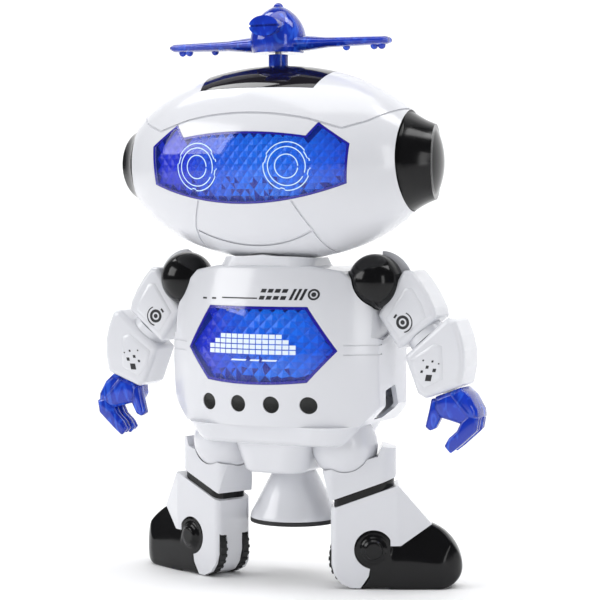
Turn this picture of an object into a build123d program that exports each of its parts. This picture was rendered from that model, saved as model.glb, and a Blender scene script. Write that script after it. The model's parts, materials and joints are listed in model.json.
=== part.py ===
from build123d import *
from math import cos, radians, sin, sqrt
import os

# Toy robot, millimetres. It faces -Y, its own left side is +X, and the floor is z = 0.
# The head and propeller axis is x = 0, y = 0. Left-hand limbs are modelled and mirrored.

# ---- driving dimensions: body ----
TORSO_TOP = 140.8
TORSO_LIP = 71.6
TORSO_HALF_WIDTH = 50.0
TORSO_FRONT = 26.0
TORSO_BACK = 38.0
TORSO_SEAM = 3.0
BARREL_AXIS = (104.0, 101.5)
TORSO_EDGE_ROUND = 2.0
REAR_EDGE_ROUND = 1.0
REAR_INSET = 0.8
REAR_CORNER_RADIUS = 11.0
WALL = 2.2

# ---- driving dimensions: head ----
HEAD_Z = 185.3
HEAD_SEMI = (73.0, 38.0, 42.6)
HEAD_WALL = 2.4
HEAD_SEAM = 6.0
LENS_THICKNESS = 1.8
LENS_GAP = 0.12
WINDOW_FILL = 0.995
REFLECTOR_MARGIN = 1.4
REFLECTOR_DEPTH = 3.2
GROOVE_DEPTH = 0.6
GROOVE_WIDTH = 0.9
NECK_RADIUS = 11.0
NECK_BOSS_RADIUS = 8.0
COLLAR_FOOT = (46.0, 34.0)
COLLAR_TOP = (41.0, 29.0)
COLLAR_Y = -1.5
COLLAR_HEIGHT = 5.0
HEAD_TURN = 25
HEAD_CLEARANCE = 0.6

# ---- driving dimensions: limbs ----
SHOULDER = (46.0, 1.0, 134.0)
SHOULDER_BALL_RADIUS = 12.0
SHOULDER_HOOD_RADIUS = 14.8
SHOULDER_HOOD_SHIFT = (1.5, 1.0, -1.4)
SHOULDER_PLANE = 47.4
SHOULDER_SWEEP_RADIUS = 25.0
ARM_MID_Y = 7.0
ARM_DEPTH = 19.0
ARM_WALL = 2.0
ELBOW = (66.45, 111.95)
ELBOW_TILT = 41.0
ELBOW_GAP = 3.2
ELBOW_RADIUS = 8.6
WRIST = (78.25, 87.65)
WRIST_TILT = 21.0
WRIST_GAP = 0.4
HAND_DEPTH = 15.0
FOOT_YAW = 23.0
FOOT_ORIGIN = (34.0, 8.0)
HIP_SETBACK = 5.0
HIP_Z = 62.0
HIP_DOME_RADIUS = 14.5
FOOT_HALF_WIDTH = 10.0
HEEL_WHEEL_RADIUS = 13.0
HEEL_WHEEL_X = 1.0

# ---- driving dimensions: turntable drive ----
BASE_AXIS_Y = 16.7
BASE_RIM_RADIUS = 20.1
BASE_TOP_RADIUS = 9.3
BASE_RIM_Z = 27.2
BASE_RING_Z = 25.3
PELVIS_BOTTOM = 49.5
GEAR_MODULE = 0.8
WHEEL_TEETH = 30
PINION_TEETH = 10
GEAR_CENTRES = GEAR_MODULE * (WHEEL_TEETH + PINION_TEETH) / 2
MOTOR_BEARING = 200.0
RUNNING_GAP = 0.05

BIG = 200.0

os.makedirs("parts", exist_ok=True)


def save(part, name):
    part.label = name
    export_step(part, f"parts/{name}.step")


def save_pair(part, name):
    save(part, f"{name}_left")
    save(mirror(part, about=Plane.YZ), f"{name}_right")


def head_ellipsoid(inset):
    """The head's ellipsoid, its surface moved inwards by inset."""
    radius = 50.0
    factors = [(semi - inset) / radius for semi in HEAD_SEMI]
    with BuildPart() as solid:
        Sphere(radius)
        scale(by=tuple(factors))
    return Pos(0, 0, HEAD_Z) * solid.part


def front_prism(points, depth_from, depth_to):
    """A prism through the XZ polygon between two y values."""
    with BuildPart() as solid:
        with BuildSketch(Plane.XZ.offset(-depth_to)):
            with BuildLine():
                Polyline(*points, close=True)
            make_face()
        extrude(amount=depth_to - depth_from)
    return solid.part


def moved_up(points, height):
    return [(x, z + height) for x, z in points]


head_outer = head_ellipsoid(0.0)
head_inner = head_ellipsoid(HEAD_WALL)
head_groove_floor = head_ellipsoid(GROOVE_DEPTH)
lens_inner = head_ellipsoid(LENS_THICKNESS)
reflector_outer = head_ellipsoid(REFLECTOR_DEPTH)
reflector_inner = head_ellipsoid(REFLECTOR_DEPTH + 1.0)

# ---- visor outline, relative to the head's centre, drawn on the front ----
VISOR_BOTTOM = -18.0
VISOR_TOP = 12.7
VISOR_CORNERS = ((28.9, 10.5), (33.4, 16.2), (46.8, 7.1), (45.5, -9.5))


def visor_prism(shrink, y_front, y_back):
    """A prism through the visor outline, drawn in by shrink all round."""
    right = [(x, HEAD_Z + z) for x, z in VISOR_CORNERS]
    left = [(-x, z) for x, z in right]
    with BuildPart() as solid:
        with BuildSketch(Plane.XZ.offset(-y_back)):
            with BuildLine():
                Polyline(*right)
                ThreePointArc(right[-1], (0, HEAD_Z + VISOR_BOTTOM), left[-1])
                Polyline(*left)
                ThreePointArc(left[0], (0, HEAD_Z + VISOR_TOP), right[0])
            make_face()
            if shrink:
                offset(amount=-shrink)
        extrude(amount=y_back - y_front)
    return solid.part


def window_prism(fill):
    """An upright prism through the crown window's outline."""
    front = 22.0 * fill
    rear = 15.0 * fill
    with BuildPart() as solid:
        with BuildSketch(Plane.XY.offset(HEAD_Z + 15.0)):
            with BuildLine():
                ThreePointArc((-27 * fill, -front), (0, -25.5 * fill), (27 * fill, -front))
                ThreePointArc((27 * fill, -front), (29 * fill, -4), (26 * fill, rear))
                ThreePointArc((26 * fill, rear), (0, 19 * fill), (-26 * fill, rear))
                ThreePointArc((-26 * fill, rear), (-29 * fill, -4), (-27 * fill, -front))
            make_face()
        extrude(amount=40)
    return solid.part


# ---- ear pods: turned shapes on an axis that leans back ----
EAR_ORIGIN = (60.3, 5.6, HEAD_Z)
EAR_LEAN = 13.0
ear_plane = Plane(
    origin=EAR_ORIGIN,
    x_dir=(0, 0, 1),
    z_dir=(cos(radians(EAR_LEAN)), sin(radians(EAR_LEAN)), 0),
)
EAR_BASE_RADIUS = 22.9
EAR_RIM_RADIUS = 16.2
EAR_RIM_HEIGHT = 11.0
EAR_SPIGOT_RADIUS = 15.0
EAR_SPIGOT_DEPTH = 7.0
EAR_CAP_RADIUS = 14.8
EAR_CAP_DOME = 3.4
EAR_DOME_RADIUS = 33.0
EAR_BASE_DEPTH = 3.0
EAR_SEAT_RADIUS = 21.6
EAR_SEAT_LEAN = 2.0
EAR_SEAT_CENTRE = (62.3, 2.6, HEAD_Z + 0.5)
EAR_POCKET_DEPTH = 9.0
EAR_WAIST = (18.8, -5.4)
EAR_BASE_LIP = 0.4
FIT_GAP = 0.1
seat_plane = Plane(
    origin=EAR_SEAT_CENTRE,
    x_dir=(0, 0, 1),
    z_dir=(cos(radians(EAR_SEAT_LEAN)), sin(radians(EAR_SEAT_LEAN)), 0),
)

with BuildPart() as ear_hole:
    with BuildSketch(seat_plane.offset(-EAR_POCKET_DEPTH)):
        Circle(EAR_SEAT_RADIUS + FIT_GAP)
    extrude(amount=40)

ear_profile_plane = Plane(ear_plane.origin, x_dir=ear_plane.x_dir, z_dir=ear_plane.y_dir)
ear_axis = Axis(ear_plane.origin, ear_plane.z_dir)

with BuildPart() as ear_dome:
    with BuildSketch(ear_plane.offset(EAR_RIM_HEIGHT - 2)):
        Circle(EAR_CAP_RADIUS)
    extrude(amount=2 + EAR_CAP_DOME)
    with Locations(ear_plane.offset(EAR_RIM_HEIGHT + EAR_CAP_DOME - EAR_DOME_RADIUS)):
        Sphere(EAR_DOME_RADIUS, mode=Mode.INTERSECT)

with BuildPart() as ear_body:
    with BuildSketch(ear_profile_plane):
        with BuildLine():
            Line((0, EAR_BASE_DEPTH), (0, -EAR_RIM_HEIGHT))
            Line((0, -EAR_RIM_HEIGHT), (EAR_RIM_RADIUS, -EAR_RIM_HEIGHT))
            ThreePointArc(
                (EAR_RIM_RADIUS, -EAR_RIM_HEIGHT),
                EAR_WAIST,
                (EAR_BASE_RADIUS, EAR_BASE_LIP),
            )
            Line((EAR_BASE_RADIUS, EAR_BASE_LIP), (EAR_BASE_RADIUS, EAR_BASE_DEPTH))
            Line((EAR_BASE_RADIUS, EAR_BASE_DEPTH), (0, EAR_BASE_DEPTH))
        make_face()
    revolve(axis=ear_axis)

with BuildPart() as ear_plug:
    with BuildSketch(seat_plane.offset(-EAR_POCKET_DEPTH + 1)):
        Circle(EAR_SEAT_RADIUS)
    extrude(amount=40)

with BuildPart() as ear_plate:
    with BuildSketch(seat_plane.offset(-EAR_BASE_DEPTH)):
        Circle(EAR_SEAT_RADIUS)
    extrude(amount=EAR_BASE_DEPTH)
    add(head_outer, mode=Mode.INTERSECT)

with BuildPart() as ear_pod:
    add(ear_body.part)
    add(head_outer - ear_plug.part, mode=Mode.SUBTRACT)
    add(ear_plate.part)
    with BuildSketch(ear_plane.offset(-EAR_SPIGOT_DEPTH)):
        Circle(EAR_SPIGOT_RADIUS)
    extrude(amount=EAR_SPIGOT_DEPTH + 5)
    add(ear_dome.part)

# ---- head shells ----
NECK_HOLE_RADIUS = 15.0
SLEEVE_RADIUS = 4.35
SLEEVE_TOP = 232.6
head_hollow = head_outer - head_inner

BROW_ARC = ((-29, 17.6), (0, 20.6), (29, 17.6))
SMILE_ARC = ((-27, -29.3), (0, -35.6), (27, -29.3))
GROOVES = (
    ((-72, 28), (-52, 16.5), (-43, 13.5), (-29, 17.6)),
    ((72, 28), (52, 16.5), (43, 13.5), (29, 17.6)),
    ((-22, -16.5), (-27.5, -27.9), (-31, -42)),
    ((22, -16.5), (27.5, -27.9), (31, -42)),
)


def groove_band(points):
    with BuildPart() as solid:
        with BuildSketch(Plane.XZ):
            with BuildLine():
                Polyline(*moved_up(points, HEAD_Z))
            trace(line_width=GROOVE_WIDTH)
        extrude(amount=60)
    return solid.part


def groove_arc(points):
    with BuildPart() as solid:
        with BuildSketch(Plane.XZ):
            with BuildLine():
                ThreePointArc(*moved_up(points, HEAD_Z))
            trace(line_width=GROOVE_WIDTH)
        extrude(amount=60)
    return solid.part


groove_skin = head_outer - head_groove_floor
groove_cutters = [groove_band(points) for points in GROOVES]
groove_cutters.append(groove_arc(BROW_ARC))
groove_cutters.append(groove_arc(SMILE_ARC))

with BuildPart() as head_front_shell:
    add(head_hollow)
    with Locations((0, HEAD_SEAM - BIG / 2, HEAD_Z)):
        Box(BIG, BIG, BIG, mode=Mode.INTERSECT)
    add(visor_prism(0, -60, 0), mode=Mode.SUBTRACT)
    add(window_prism(1.0), mode=Mode.SUBTRACT)
    add(ear_hole.part, mode=Mode.SUBTRACT)
    add(mirror(ear_hole.part, about=Plane.YZ, mode=Mode.PRIVATE), mode=Mode.SUBTRACT)
    with Locations((0, 0, HEAD_Z - HEAD_SEMI[2])):
        Cylinder(NECK_HOLE_RADIUS, 12, mode=Mode.SUBTRACT)
    for cutter in groove_cutters:
        add(cutter & groove_skin, mode=Mode.SUBTRACT)

with BuildPart() as head_rear_shell:
    add(head_hollow)
    with Locations((0, HEAD_SEAM + BIG / 2, HEAD_Z)):
        Box(BIG, BIG, BIG, mode=Mode.INTERSECT)
    add(window_prism(1.0), mode=Mode.SUBTRACT)
    add(ear_hole.part, mode=Mode.SUBTRACT)
    add(mirror(ear_hole.part, about=Plane.YZ, mode=Mode.PRIVATE), mode=Mode.SUBTRACT)
    with Locations((0, 0, HEAD_Z - HEAD_SEMI[2])):
        Cylinder(NECK_HOLE_RADIUS, 12, mode=Mode.SUBTRACT)

with BuildPart() as crown_window:
    add((head_outer - lens_inner) & window_prism(WINDOW_FILL))
    with Locations((0, 0, HEAD_Z + HEAD_SEMI[2])):
        Cylinder(SLEEVE_RADIUS + FIT_GAP, 12, mode=Mode.SUBTRACT)

with BuildPart() as visor_lens:
    add((head_outer - lens_inner) & visor_prism(LENS_GAP, -60, 0))

with BuildPart() as visor_reflector:
    add((reflector_outer - reflector_inner) & visor_prism(REFLECTOR_MARGIN, -60, 0))

save(head_front_shell.part, "head_front_shell")
save(head_rear_shell.part, "head_rear_shell")
save(crown_window.part, "crown_window")
save(visor_lens.part, "visor_lens")
save(visor_reflector.part, "visor_reflector")
save_pair(ear_pod.part, "ear_pod")

# ---- propeller and its stem ----
HUB_BOTTOM = 233.2
SLEEVE_FOOT_Z = 222.0
HUB_RADIUS = 12.0
HUB_HEIGHT = 21.0
BLADE_TIP = 52.8
BLADE_Z = 237.2
BLADE_SECTIONS = (
    (6.0, 7.6, 15.0),
    (14.0, 6.6, 13.0),
    (24.0, 4.6, 10.5),
    (BLADE_TIP - 1.6, 3.6, 8.0),
    (BLADE_TIP, 2.2, 5.6),
)
BUMP_REACH = (32.0, 45.0, 48.5)
BUMP_RADIUS = 1.7
BUMP_Y = 1.5
BUMP_DROP = 2.0
HUB_BUTTON_RADIUS = 2.3
NOSE_Z = HUB_BOTTOM + 11.0
NOSE_RADII = (7.0, 4.4)
NOSE_REACH = 15.0
NOSE_SLOT = (16.0, 6.0, 0.9)
NOSE_SLOT_Y = -16.5
SHAFT_RADIUS = 1.5
SHAFT_HEAD_RADIUS = 3.2
SHAFT_TOP = 246.0
SHAFT_BOTTOM = 221.6

with BuildPart() as propeller_sleeve:
    with BuildSketch(Plane.XY.offset(SLEEVE_FOOT_Z)):
        Circle(SLEEVE_RADIUS + 5)
    extrude(amount=8.0)
    add(lens_inner, mode=Mode.INTERSECT)
    with BuildSketch(Plane.XY.offset(SLEEVE_FOOT_Z)):
        Circle(SLEEVE_RADIUS)
    extrude(amount=SLEEVE_TOP - SLEEVE_FOOT_Z)
    with BuildSketch(Plane.XY.offset(SLEEVE_FOOT_Z - 1)):
        Circle(SHAFT_RADIUS + RUNNING_GAP)
    extrude(amount=30, mode=Mode.SUBTRACT)

with BuildPart() as propeller_shaft:
    with BuildSketch(Plane.XY.offset(SHAFT_BOTTOM)):
        Circle(SHAFT_RADIUS)
    extrude(amount=SHAFT_TOP - SHAFT_BOTTOM)
    with BuildSketch(Plane.XY.offset(SHAFT_BOTTOM - 2.0)):
        Circle(SHAFT_HEAD_RADIUS)
    extrude(amount=2.0)


def blade(sign):
    """One blade, lofted through rounded sections from the hub to the tip."""
    with BuildPart() as solid:
        for reach, height, chord in BLADE_SECTIONS:
            plane = Plane(origin=(sign * reach, 0, BLADE_Z), x_dir=(0, 1, 0), z_dir=(sign, 0, 0))
            with BuildSketch(plane):
                Ellipse(chord / 2, height / 2)
        loft(ruled=True)
        for reach in BUMP_REACH:
            with Locations((sign * reach, BUMP_Y, BLADE_Z - BUMP_DROP)):
                Sphere(BUMP_RADIUS)
    return solid.part


with BuildPart() as propeller:
    with BuildSketch(Plane.XZ):
        with BuildLine():
            Line((0, HUB_BOTTOM), (HUB_RADIUS - 1, HUB_BOTTOM))
            Line((HUB_RADIUS - 1, HUB_BOTTOM), (HUB_RADIUS, HUB_BOTTOM + 2))
            ThreePointArc(
                (HUB_RADIUS, HUB_BOTTOM + 2),
                (HUB_RADIUS - 2.6, HUB_BOTTOM + 14.5),
                (0, HUB_BOTTOM + HUB_HEIGHT),
            )
            Line((0, HUB_BOTTOM + HUB_HEIGHT), (0, HUB_BOTTOM))
        make_face()
    revolve(axis=Axis.Z)
    with Locations((0, 0, HUB_BOTTOM + HUB_HEIGHT - 1.2)):
        Sphere(HUB_BUTTON_RADIUS)
    add(blade(1))
    add(blade(-1))
    with BuildSketch(Plane.XZ.offset(-2)):
        with Locations((0, NOSE_Z)):
            Ellipse(*NOSE_RADII)
    extrude(amount=NOSE_REACH + 2)
    with Locations((0, NOSE_SLOT_Y, NOSE_Z)):
        Box(*NOSE_SLOT, mode=Mode.SUBTRACT)
    with BuildSketch(Plane.XY.offset(HUB_BOTTOM - 1)):
        Circle(SHAFT_RADIUS)
    extrude(amount=SHAFT_TOP - HUB_BOTTOM + 1, mode=Mode.SUBTRACT)

save(propeller_sleeve.part, "propeller_sleeve")
save(propeller_shaft.part, "propeller_shaft")
save(propeller.part, "propeller")

# ---- torso ----
TORSO_SIDE = (
    (22.0, TORSO_TOP),
    (35.0, 138.6),
    (43.0, 132.0),
    (47.4, 122.0),
    (TORSO_HALF_WIDTH, 107.0),
    (TORSO_HALF_WIDTH, 80.0),
    (42.0, TORSO_LIP),
)
SIDE_FRONT_Y = -4.9
SHOULDER_SLOPE_Z = 125.0
BARREL_REACH = 62.0


def torso_block(inset, bottom, edge_round=0.0):
    """The whole torso's outer form, its faces moved in by inset: a barrel front, flat sides and back."""
    half = TORSO_HALF_WIDTH - inset
    front = TORSO_FRONT - inset
    back = TORSO_BACK - inset
    drop = front + SIDE_FRONT_Y
    arc_radius = (half * half + drop * drop) / (2 * drop)
    reach_y = arc_radius - front - sqrt(arc_radius**2 - BARREL_REACH**2)
    side = [(x - inset, z - inset if z > SHOULDER_SLOPE_Z else z) for x, z in TORSO_SIDE]
    if bottom < TORSO_LIP:
        side = side + [(side[-1][0], bottom)]
    right = side + [(-x, z) for x, z in reversed(side)]
    with BuildPart() as solid:
        with BuildSketch(Plane.XZ.offset(-back)):
            with BuildLine():
                Polyline(*right, close=True)
            make_face()
        extrude(amount=back + 60)
        with BuildSketch(Plane.XY.offset(bottom)):
            with Locations((0, back - 50)):
                RectangleRounded(2 * half, 100, REAR_CORNER_RADIUS - inset)
        extrude(amount=TORSO_TOP - bottom, mode=Mode.INTERSECT)
        with BuildSketch(Plane.XY.offset(BARREL_AXIS[1])):
            with BuildLine():
                ThreePointArc((-BARREL_REACH, reach_y), (0, -front), (BARREL_REACH, reach_y))
                Polyline(
                    (BARREL_REACH, reach_y),
                    (BARREL_REACH, BARREL_REACH),
                    (-BARREL_REACH, BARREL_REACH),
                    (-BARREL_REACH, reach_y),
                )
            make_face()
        revolve(axis=Axis((0, BARREL_AXIS[0], BARREL_AXIS[1]), (1, 0, 0)), mode=Mode.INTERSECT)
        if edge_round:
            fillet(solid.edges().filter_by(lambda edge: edge.center().Z > bottom + 0.5), edge_round)
    return solid.part


torso_outer = torso_block(0.0, TORSO_LIP, TORSO_EDGE_ROUND)
torso_inner = torso_block(WALL, TORSO_LIP - 2)
torso_wall = torso_outer - torso_inner
rear_outer = torso_block(REAR_INSET, TORSO_LIP, REAR_EDGE_ROUND)
rear_inner = torso_block(REAR_INSET + WALL, TORSO_LIP - 2)
rear_wall = rear_outer - rear_inner

SIDE_GROOVE_Z = (107.0, 103.0)
SIDE_GROOVE_DEPTH = 0.45
SIDE_GROOVE_WIDTH = 0.5

with BuildPart() as side_grooves:
    for z in SIDE_GROOVE_Z:
        with Locations((-48.0, -12.0, z), (48.0, -12.0, z)):
            Box(20, 22, SIDE_GROOVE_WIDTH)
    add(torso_outer - torso_block(SIDE_GROOVE_DEPTH, TORSO_LIP - 1), mode=Mode.INTERSECT)


def collar_block(grown):
    """The raised neck collar's outer form, grown all round by that much."""
    with BuildPart() as solid:
        for (width, depth), z in ((COLLAR_FOOT, TORSO_TOP - 1.8), (COLLAR_TOP, TORSO_TOP + COLLAR_HEIGHT)):
            with BuildSketch(Plane.XY.offset(z)):
                with Locations((0, COLLAR_Y)):
                    RectangleRounded(width + 2 * grown, depth + 2 * grown, 9.0)
        loft()
    return solid.part


def room_below_head():
    """The room above the lowest reach of the head's underside as it turns."""
    side, front, height = (semi + HEAD_CLEARANCE for semi in HEAD_SEMI)
    rows = []
    for x in range(-28, 29, 7):
        row = []
        for y in range(-22, 19, 5):
            reach = []
            for angle in range(-HEAD_TURN, HEAD_TURN + 1, 5):
                turned = Vector(x, y).rotate(Axis.Z, angle)
                reach.append(height * sqrt(1 - (turned.X / side) ** 2 - (turned.Y / front) ** 2))
            row.append(Vector(x, y, HEAD_Z - max(reach)))
        rows.append(row)
    with BuildPart() as solid:
        extrude(Face.make_surface_from_array_of_points(rows, tol=0.02), amount=20, dir=(0, 0, 1))
    return solid.part


collar = collar_block(0.0) - room_below_head()

# chest lens outline, x and z
CHEST_CORNERS = ((23.4, 123.5), (35.8, 104.7), (23.8, 91.1))
CHEST_BOTTOM = 89.8
VENT_X = (-23.9, -7.9, 7.9, 23.9)
VENT_Z = 81.3
VENT_RADIUS = 3.7
SHAFT_FIT_RADIUS = 3.0


def chest_prism(shrink):
    left = [(-x, z) for x, z in CHEST_CORNERS]
    with BuildPart() as solid:
        with BuildSketch(Plane.XZ.offset(4)):
            with BuildLine():
                Polyline(*CHEST_CORNERS)
                ThreePointArc(CHEST_CORNERS[-1], (0, CHEST_BOTTOM), left[-1])
                Polyline(*left)
                Line(left[0], CHEST_CORNERS[0])
            make_face()
            if shrink:
                offset(amount=-shrink)
        extrude(amount=40)
    return solid.part


def shoulder_cuts(part):
    """Cut the ball sockets, the flats the arms sweep past and the shaft holes."""
    with BuildPart() as solid:
        add(part)
        for sign in (-1, 1):
            centre = (sign * SHOULDER[0], SHOULDER[1], SHOULDER[2])
            with Locations(centre):
                Sphere(SHOULDER_BALL_RADIUS + 0.4, mode=Mode.SUBTRACT)
            plane = Plane(
                origin=(sign * SHOULDER_PLANE, SHOULDER[1], SHOULDER[2]),
                z_dir=(sign, 0, 0),
            )
            with BuildSketch(plane):
                Circle(SHOULDER_SWEEP_RADIUS)
            extrude(amount=20, mode=Mode.SUBTRACT)
            with BuildSketch(plane.offset(-24)):
                Circle(SHAFT_FIT_RADIUS + RUNNING_GAP)
            extrude(amount=24, mode=Mode.SUBTRACT)
    return solid.part


with BuildPart() as torso_front_solid:
    add(torso_wall)
    with Locations((0, TORSO_SEAM - BIG / 2, 100)):
        Box(BIG, BIG, BIG, mode=Mode.INTERSECT)
    add(chest_prism(0), mode=Mode.SUBTRACT)
    with BuildSketch(Plane.XZ.offset(10)):
        with Locations(*[(x, VENT_Z) for x in VENT_X]):
            Circle(VENT_RADIUS)
    extrude(amount=30, mode=Mode.SUBTRACT)
    add(collar)
    with BuildSketch(Plane.XY.offset(TORSO_TOP - 5.0)):
        Circle(NECK_RADIUS)
    extrude(amount=5.0)
    with BuildSketch(Plane.XY.offset(TORSO_TOP - 6.0)):
        Circle(NECK_BOSS_RADIUS)
    extrude(amount=12.0, mode=Mode.SUBTRACT)
    add(side_grooves.part, mode=Mode.SUBTRACT)

torso_front_shell = shoulder_cuts(torso_front_solid.part)

DOOR_HALF_WIDTH = 27.0
DOOR_BOTTOM = 79.5
DOOR_TOP = 130.0
SWITCH_Z = 75.8
SWITCH_SLOT = (9.2, 3.4)
SWITCH_TRAVEL = 4.0
REAR_FACE = TORSO_BACK - REAR_INSET
CASE_SCREWS = ((-38.0, 84.0), (38.0, 84.0), (-34.0, 124.0), (34.0, 124.0))
SIDE_RECESS = ((86.5, 4.2), (88.6, 15.5), (78.0, 20.0), (73.8, 15.0), (73.8, 4.2))

with BuildPart() as torso_rear_solid:
    add(rear_wall)
    with Locations((0, TORSO_SEAM + BIG / 2, 100)):
        Box(BIG, BIG, BIG, mode=Mode.INTERSECT)
    with BuildSketch(Plane.XZ.offset(-REAR_FACE - 1)):
        with Locations((0, (DOOR_BOTTOM + DOOR_TOP) / 2)):
            Rectangle(2 * DOOR_HALF_WIDTH, DOOR_TOP - DOOR_BOTTOM)
        with Locations((0, SWITCH_Z)):
            Rectangle(*SWITCH_SLOT)
        with Locations(*CASE_SCREWS):
            Circle(1.6)
    extrude(amount=6, mode=Mode.SUBTRACT)
    with BuildSketch(Plane.XY.offset(TORSO_TOP - 6.0)):
        Circle(NECK_RADIUS + FIT_GAP)
    extrude(amount=12.0, mode=Mode.SUBTRACT)
    add(collar_block(FIT_GAP), mode=Mode.SUBTRACT)
    for sign in (-1, 1):
        with BuildSketch(Plane.YZ.offset(sign * 46 - 6)):
            with BuildLine():
                Polyline(*[(y, z) for z, y in SIDE_RECESS], close=True)
            make_face()
        extrude(amount=12, mode=Mode.SUBTRACT)
    for x, z in CASE_SCREWS:
        with BuildSketch(Plane.XZ.offset(-REAR_FACE + WALL)):
            with Locations((x, z)):
                Circle(3.2)
                Circle(1.1, mode=Mode.SUBTRACT)
        extrude(amount=26)

torso_rear_shell = shoulder_cuts(torso_rear_solid.part)

with BuildPart() as chest_lens:
    add((torso_outer - torso_block(LENS_THICKNESS, TORSO_LIP - 1)) & chest_prism(LENS_GAP))

with BuildPart() as chest_reflector:
    add((torso_block(2.9, TORSO_LIP - 1) - torso_block(3.9, TORSO_LIP - 2)) & chest_prism(REFLECTOR_MARGIN))

with BuildPart() as vent_plugs:
    with BuildSketch(Plane.XZ.offset(10)):
        with Locations(*[(x, VENT_Z) for x in VENT_X]):
            Circle(VENT_RADIUS - 0.05)
    extrude(amount=30)
    add(torso_block(0.6, TORSO_LIP - 1), mode=Mode.INTERSECT)
    add(torso_block(2.0, TORSO_LIP - 2), mode=Mode.SUBTRACT)

save(torso_front_shell, "torso_front_shell")
save(torso_rear_shell, "torso_rear_shell")
save(chest_lens.part, "chest_lens")
save(chest_reflector.part, "chest_reflector")
save(vent_plugs.part, "vent_plugs")

# ---- neck ----
NECK_TOP = 151.5
NECK_FLANGE_Z = 143.0
NECK_FOOT_Z = 132.8
with BuildPart() as neck_post:
    with BuildSketch(Plane.XY.offset(NECK_FLANGE_Z)):
        Circle(NECK_HOLE_RADIUS + 3)
    extrude(amount=NECK_TOP - NECK_FLANGE_Z)
    add(head_inner, mode=Mode.INTERSECT)
    with BuildSketch(Plane.XY.offset(NECK_FOOT_Z)):
        Circle(NECK_BOSS_RADIUS - RUNNING_GAP)
    extrude(amount=NECK_TOP - NECK_FOOT_Z)
    with BuildSketch(Plane.XY.offset(NECK_FOOT_Z)):
        Circle(NECK_BOSS_RADIUS + 1.5)
    extrude(amount=TORSO_TOP - 5.1 - NECK_FOOT_Z)

save(neck_post.part, "neck_post")

# ---- pelvis ----
PELVIS_SHOULDER_Z = 62.9
PELVIS_TOP_SIZE = (80.0, 55.0)
PELVIS_LOW_SIZE = (72.0, 47.0)
PELVIS_MID_Y = 7.5
CROTCH_TOP = (37.0, 45.0)
CROTCH_FOOT = (29.0, 37.0)
BOWL_ROUND = 4.0
CROTCH_Y = 8.5
CROTCH_ROUND = 3.0
PELVIS_FLOOR_Z = PELVIS_SHOULDER_Z + 1.6
PELVIS_FLOOR_SIZE = (60.0, 41.0)
PELVIS_HOLLOW_Z = PELVIS_SHOULDER_Z + 3.6
PELVIS_HOLLOW_SIZE = (62.0, 45.0)
PELVIS_HOLLOW_CORNER = 10.0
DRIVE_SHAFT_RADIUS = 2.5
HIP_PIN_RADIUS = 3.0
HIP_PIN_BOTTOM = 38.4
HIP = (
    FOOT_ORIGIN[0] - HIP_SETBACK * cos(radians(FOOT_YAW)),
    FOOT_ORIGIN[1] - HIP_SETBACK * sin(radians(FOOT_YAW)),
    HIP_Z,
)
BOTH_HIPS = ((HIP[0], HIP[1]), (-HIP[0], HIP[1]))

with BuildPart() as crotch_block:
    for size, z in ((CROTCH_TOP, PELVIS_SHOULDER_Z + 2), (CROTCH_FOOT, PELVIS_BOTTOM)):
        with BuildSketch(Plane.XY.offset(z)):
            with Locations((0, CROTCH_Y)):
                RectangleRounded(*size, 10.0)
    loft()
    fillet(crotch_block.faces().sort_by(Axis.Z)[0].edges(), CROTCH_ROUND)

with BuildPart() as pelvis_shell:
    for size, z in ((PELVIS_TOP_SIZE, TORSO_LIP), (PELVIS_LOW_SIZE, PELVIS_SHOULDER_Z)):
        with BuildSketch(Plane.XY.offset(z)):
            with Locations((0, PELVIS_MID_Y)):
                RectangleRounded(*size, 16.0)
    loft()
    fillet(pelvis_shell.faces().sort_by(Axis.Z)[0].edges(), BOWL_ROUND)
    add(crotch_block.part)
    with Locations(*[(x, y, HIP_Z) for x, y in BOTH_HIPS]):
        Sphere(HIP_DOME_RADIUS)
    for size, z in ((PELVIS_FLOOR_SIZE, PELVIS_FLOOR_Z), (PELVIS_HOLLOW_SIZE, PELVIS_HOLLOW_Z)):
        with BuildSketch(Plane.XY.offset(z)):
            with Locations((0, PELVIS_MID_Y)):
                RectangleRounded(*size, PELVIS_HOLLOW_CORNER)
        extrude(amount=20, mode=Mode.SUBTRACT)
    with BuildSketch(Plane.XY.offset(TORSO_LIP)):
        Rectangle(BIG, BIG)
    extrude(amount=20, mode=Mode.SUBTRACT)
    with BuildSketch(Plane.XY.offset(PELVIS_BOTTOM + 3)):
        with Locations((0, CROTCH_Y)):
            RectangleRounded(CROTCH_FOOT[0] - 6, CROTCH_FOOT[1] - 6, 7.0)
    extrude(amount=30, mode=Mode.SUBTRACT)
    with BuildSketch(Plane.XY.offset(PELVIS_BOTTOM - 1)):
        with Locations((0, BASE_AXIS_Y)):
            Circle(DRIVE_SHAFT_RADIUS + RUNNING_GAP)
    extrude(amount=6, mode=Mode.SUBTRACT)
    with BuildSketch(Plane.XY.offset(40)):
        with Locations(*BOTH_HIPS):
            Circle(HIP_PIN_RADIUS)
    extrude(amount=HIP_Z + 6 - 40, mode=Mode.SUBTRACT)

save(pelvis_shell.part, "pelvis_shell")

# ---- legs, left side, in a frame along the foot ----
foot_x = (cos(radians(FOOT_YAW)), sin(radians(FOOT_YAW)), 0)
foot_side = Plane(origin=(*FOOT_ORIGIN, 0), x_dir=foot_x, z_dir=(foot_x[1], -foot_x[0], 0))
foot_ground = Plane(origin=(*FOOT_ORIGIN, 0), x_dir=foot_x, z_dir=(0, 0, 1))
HIP_CLEARANCE = 0.4
BAND_SLOPE = 0.36
BOOT_TOP_Z = 38.85
BAND_HEIGHT = 3.7
BAND_INSET = 0.9


def boot_top(x):
    return BOOT_TOP_Z + BAND_SLOPE * x


def band_top(x):
    return BOOT_TOP_Z + BAND_HEIGHT + BAND_SLOPE * x


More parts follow.
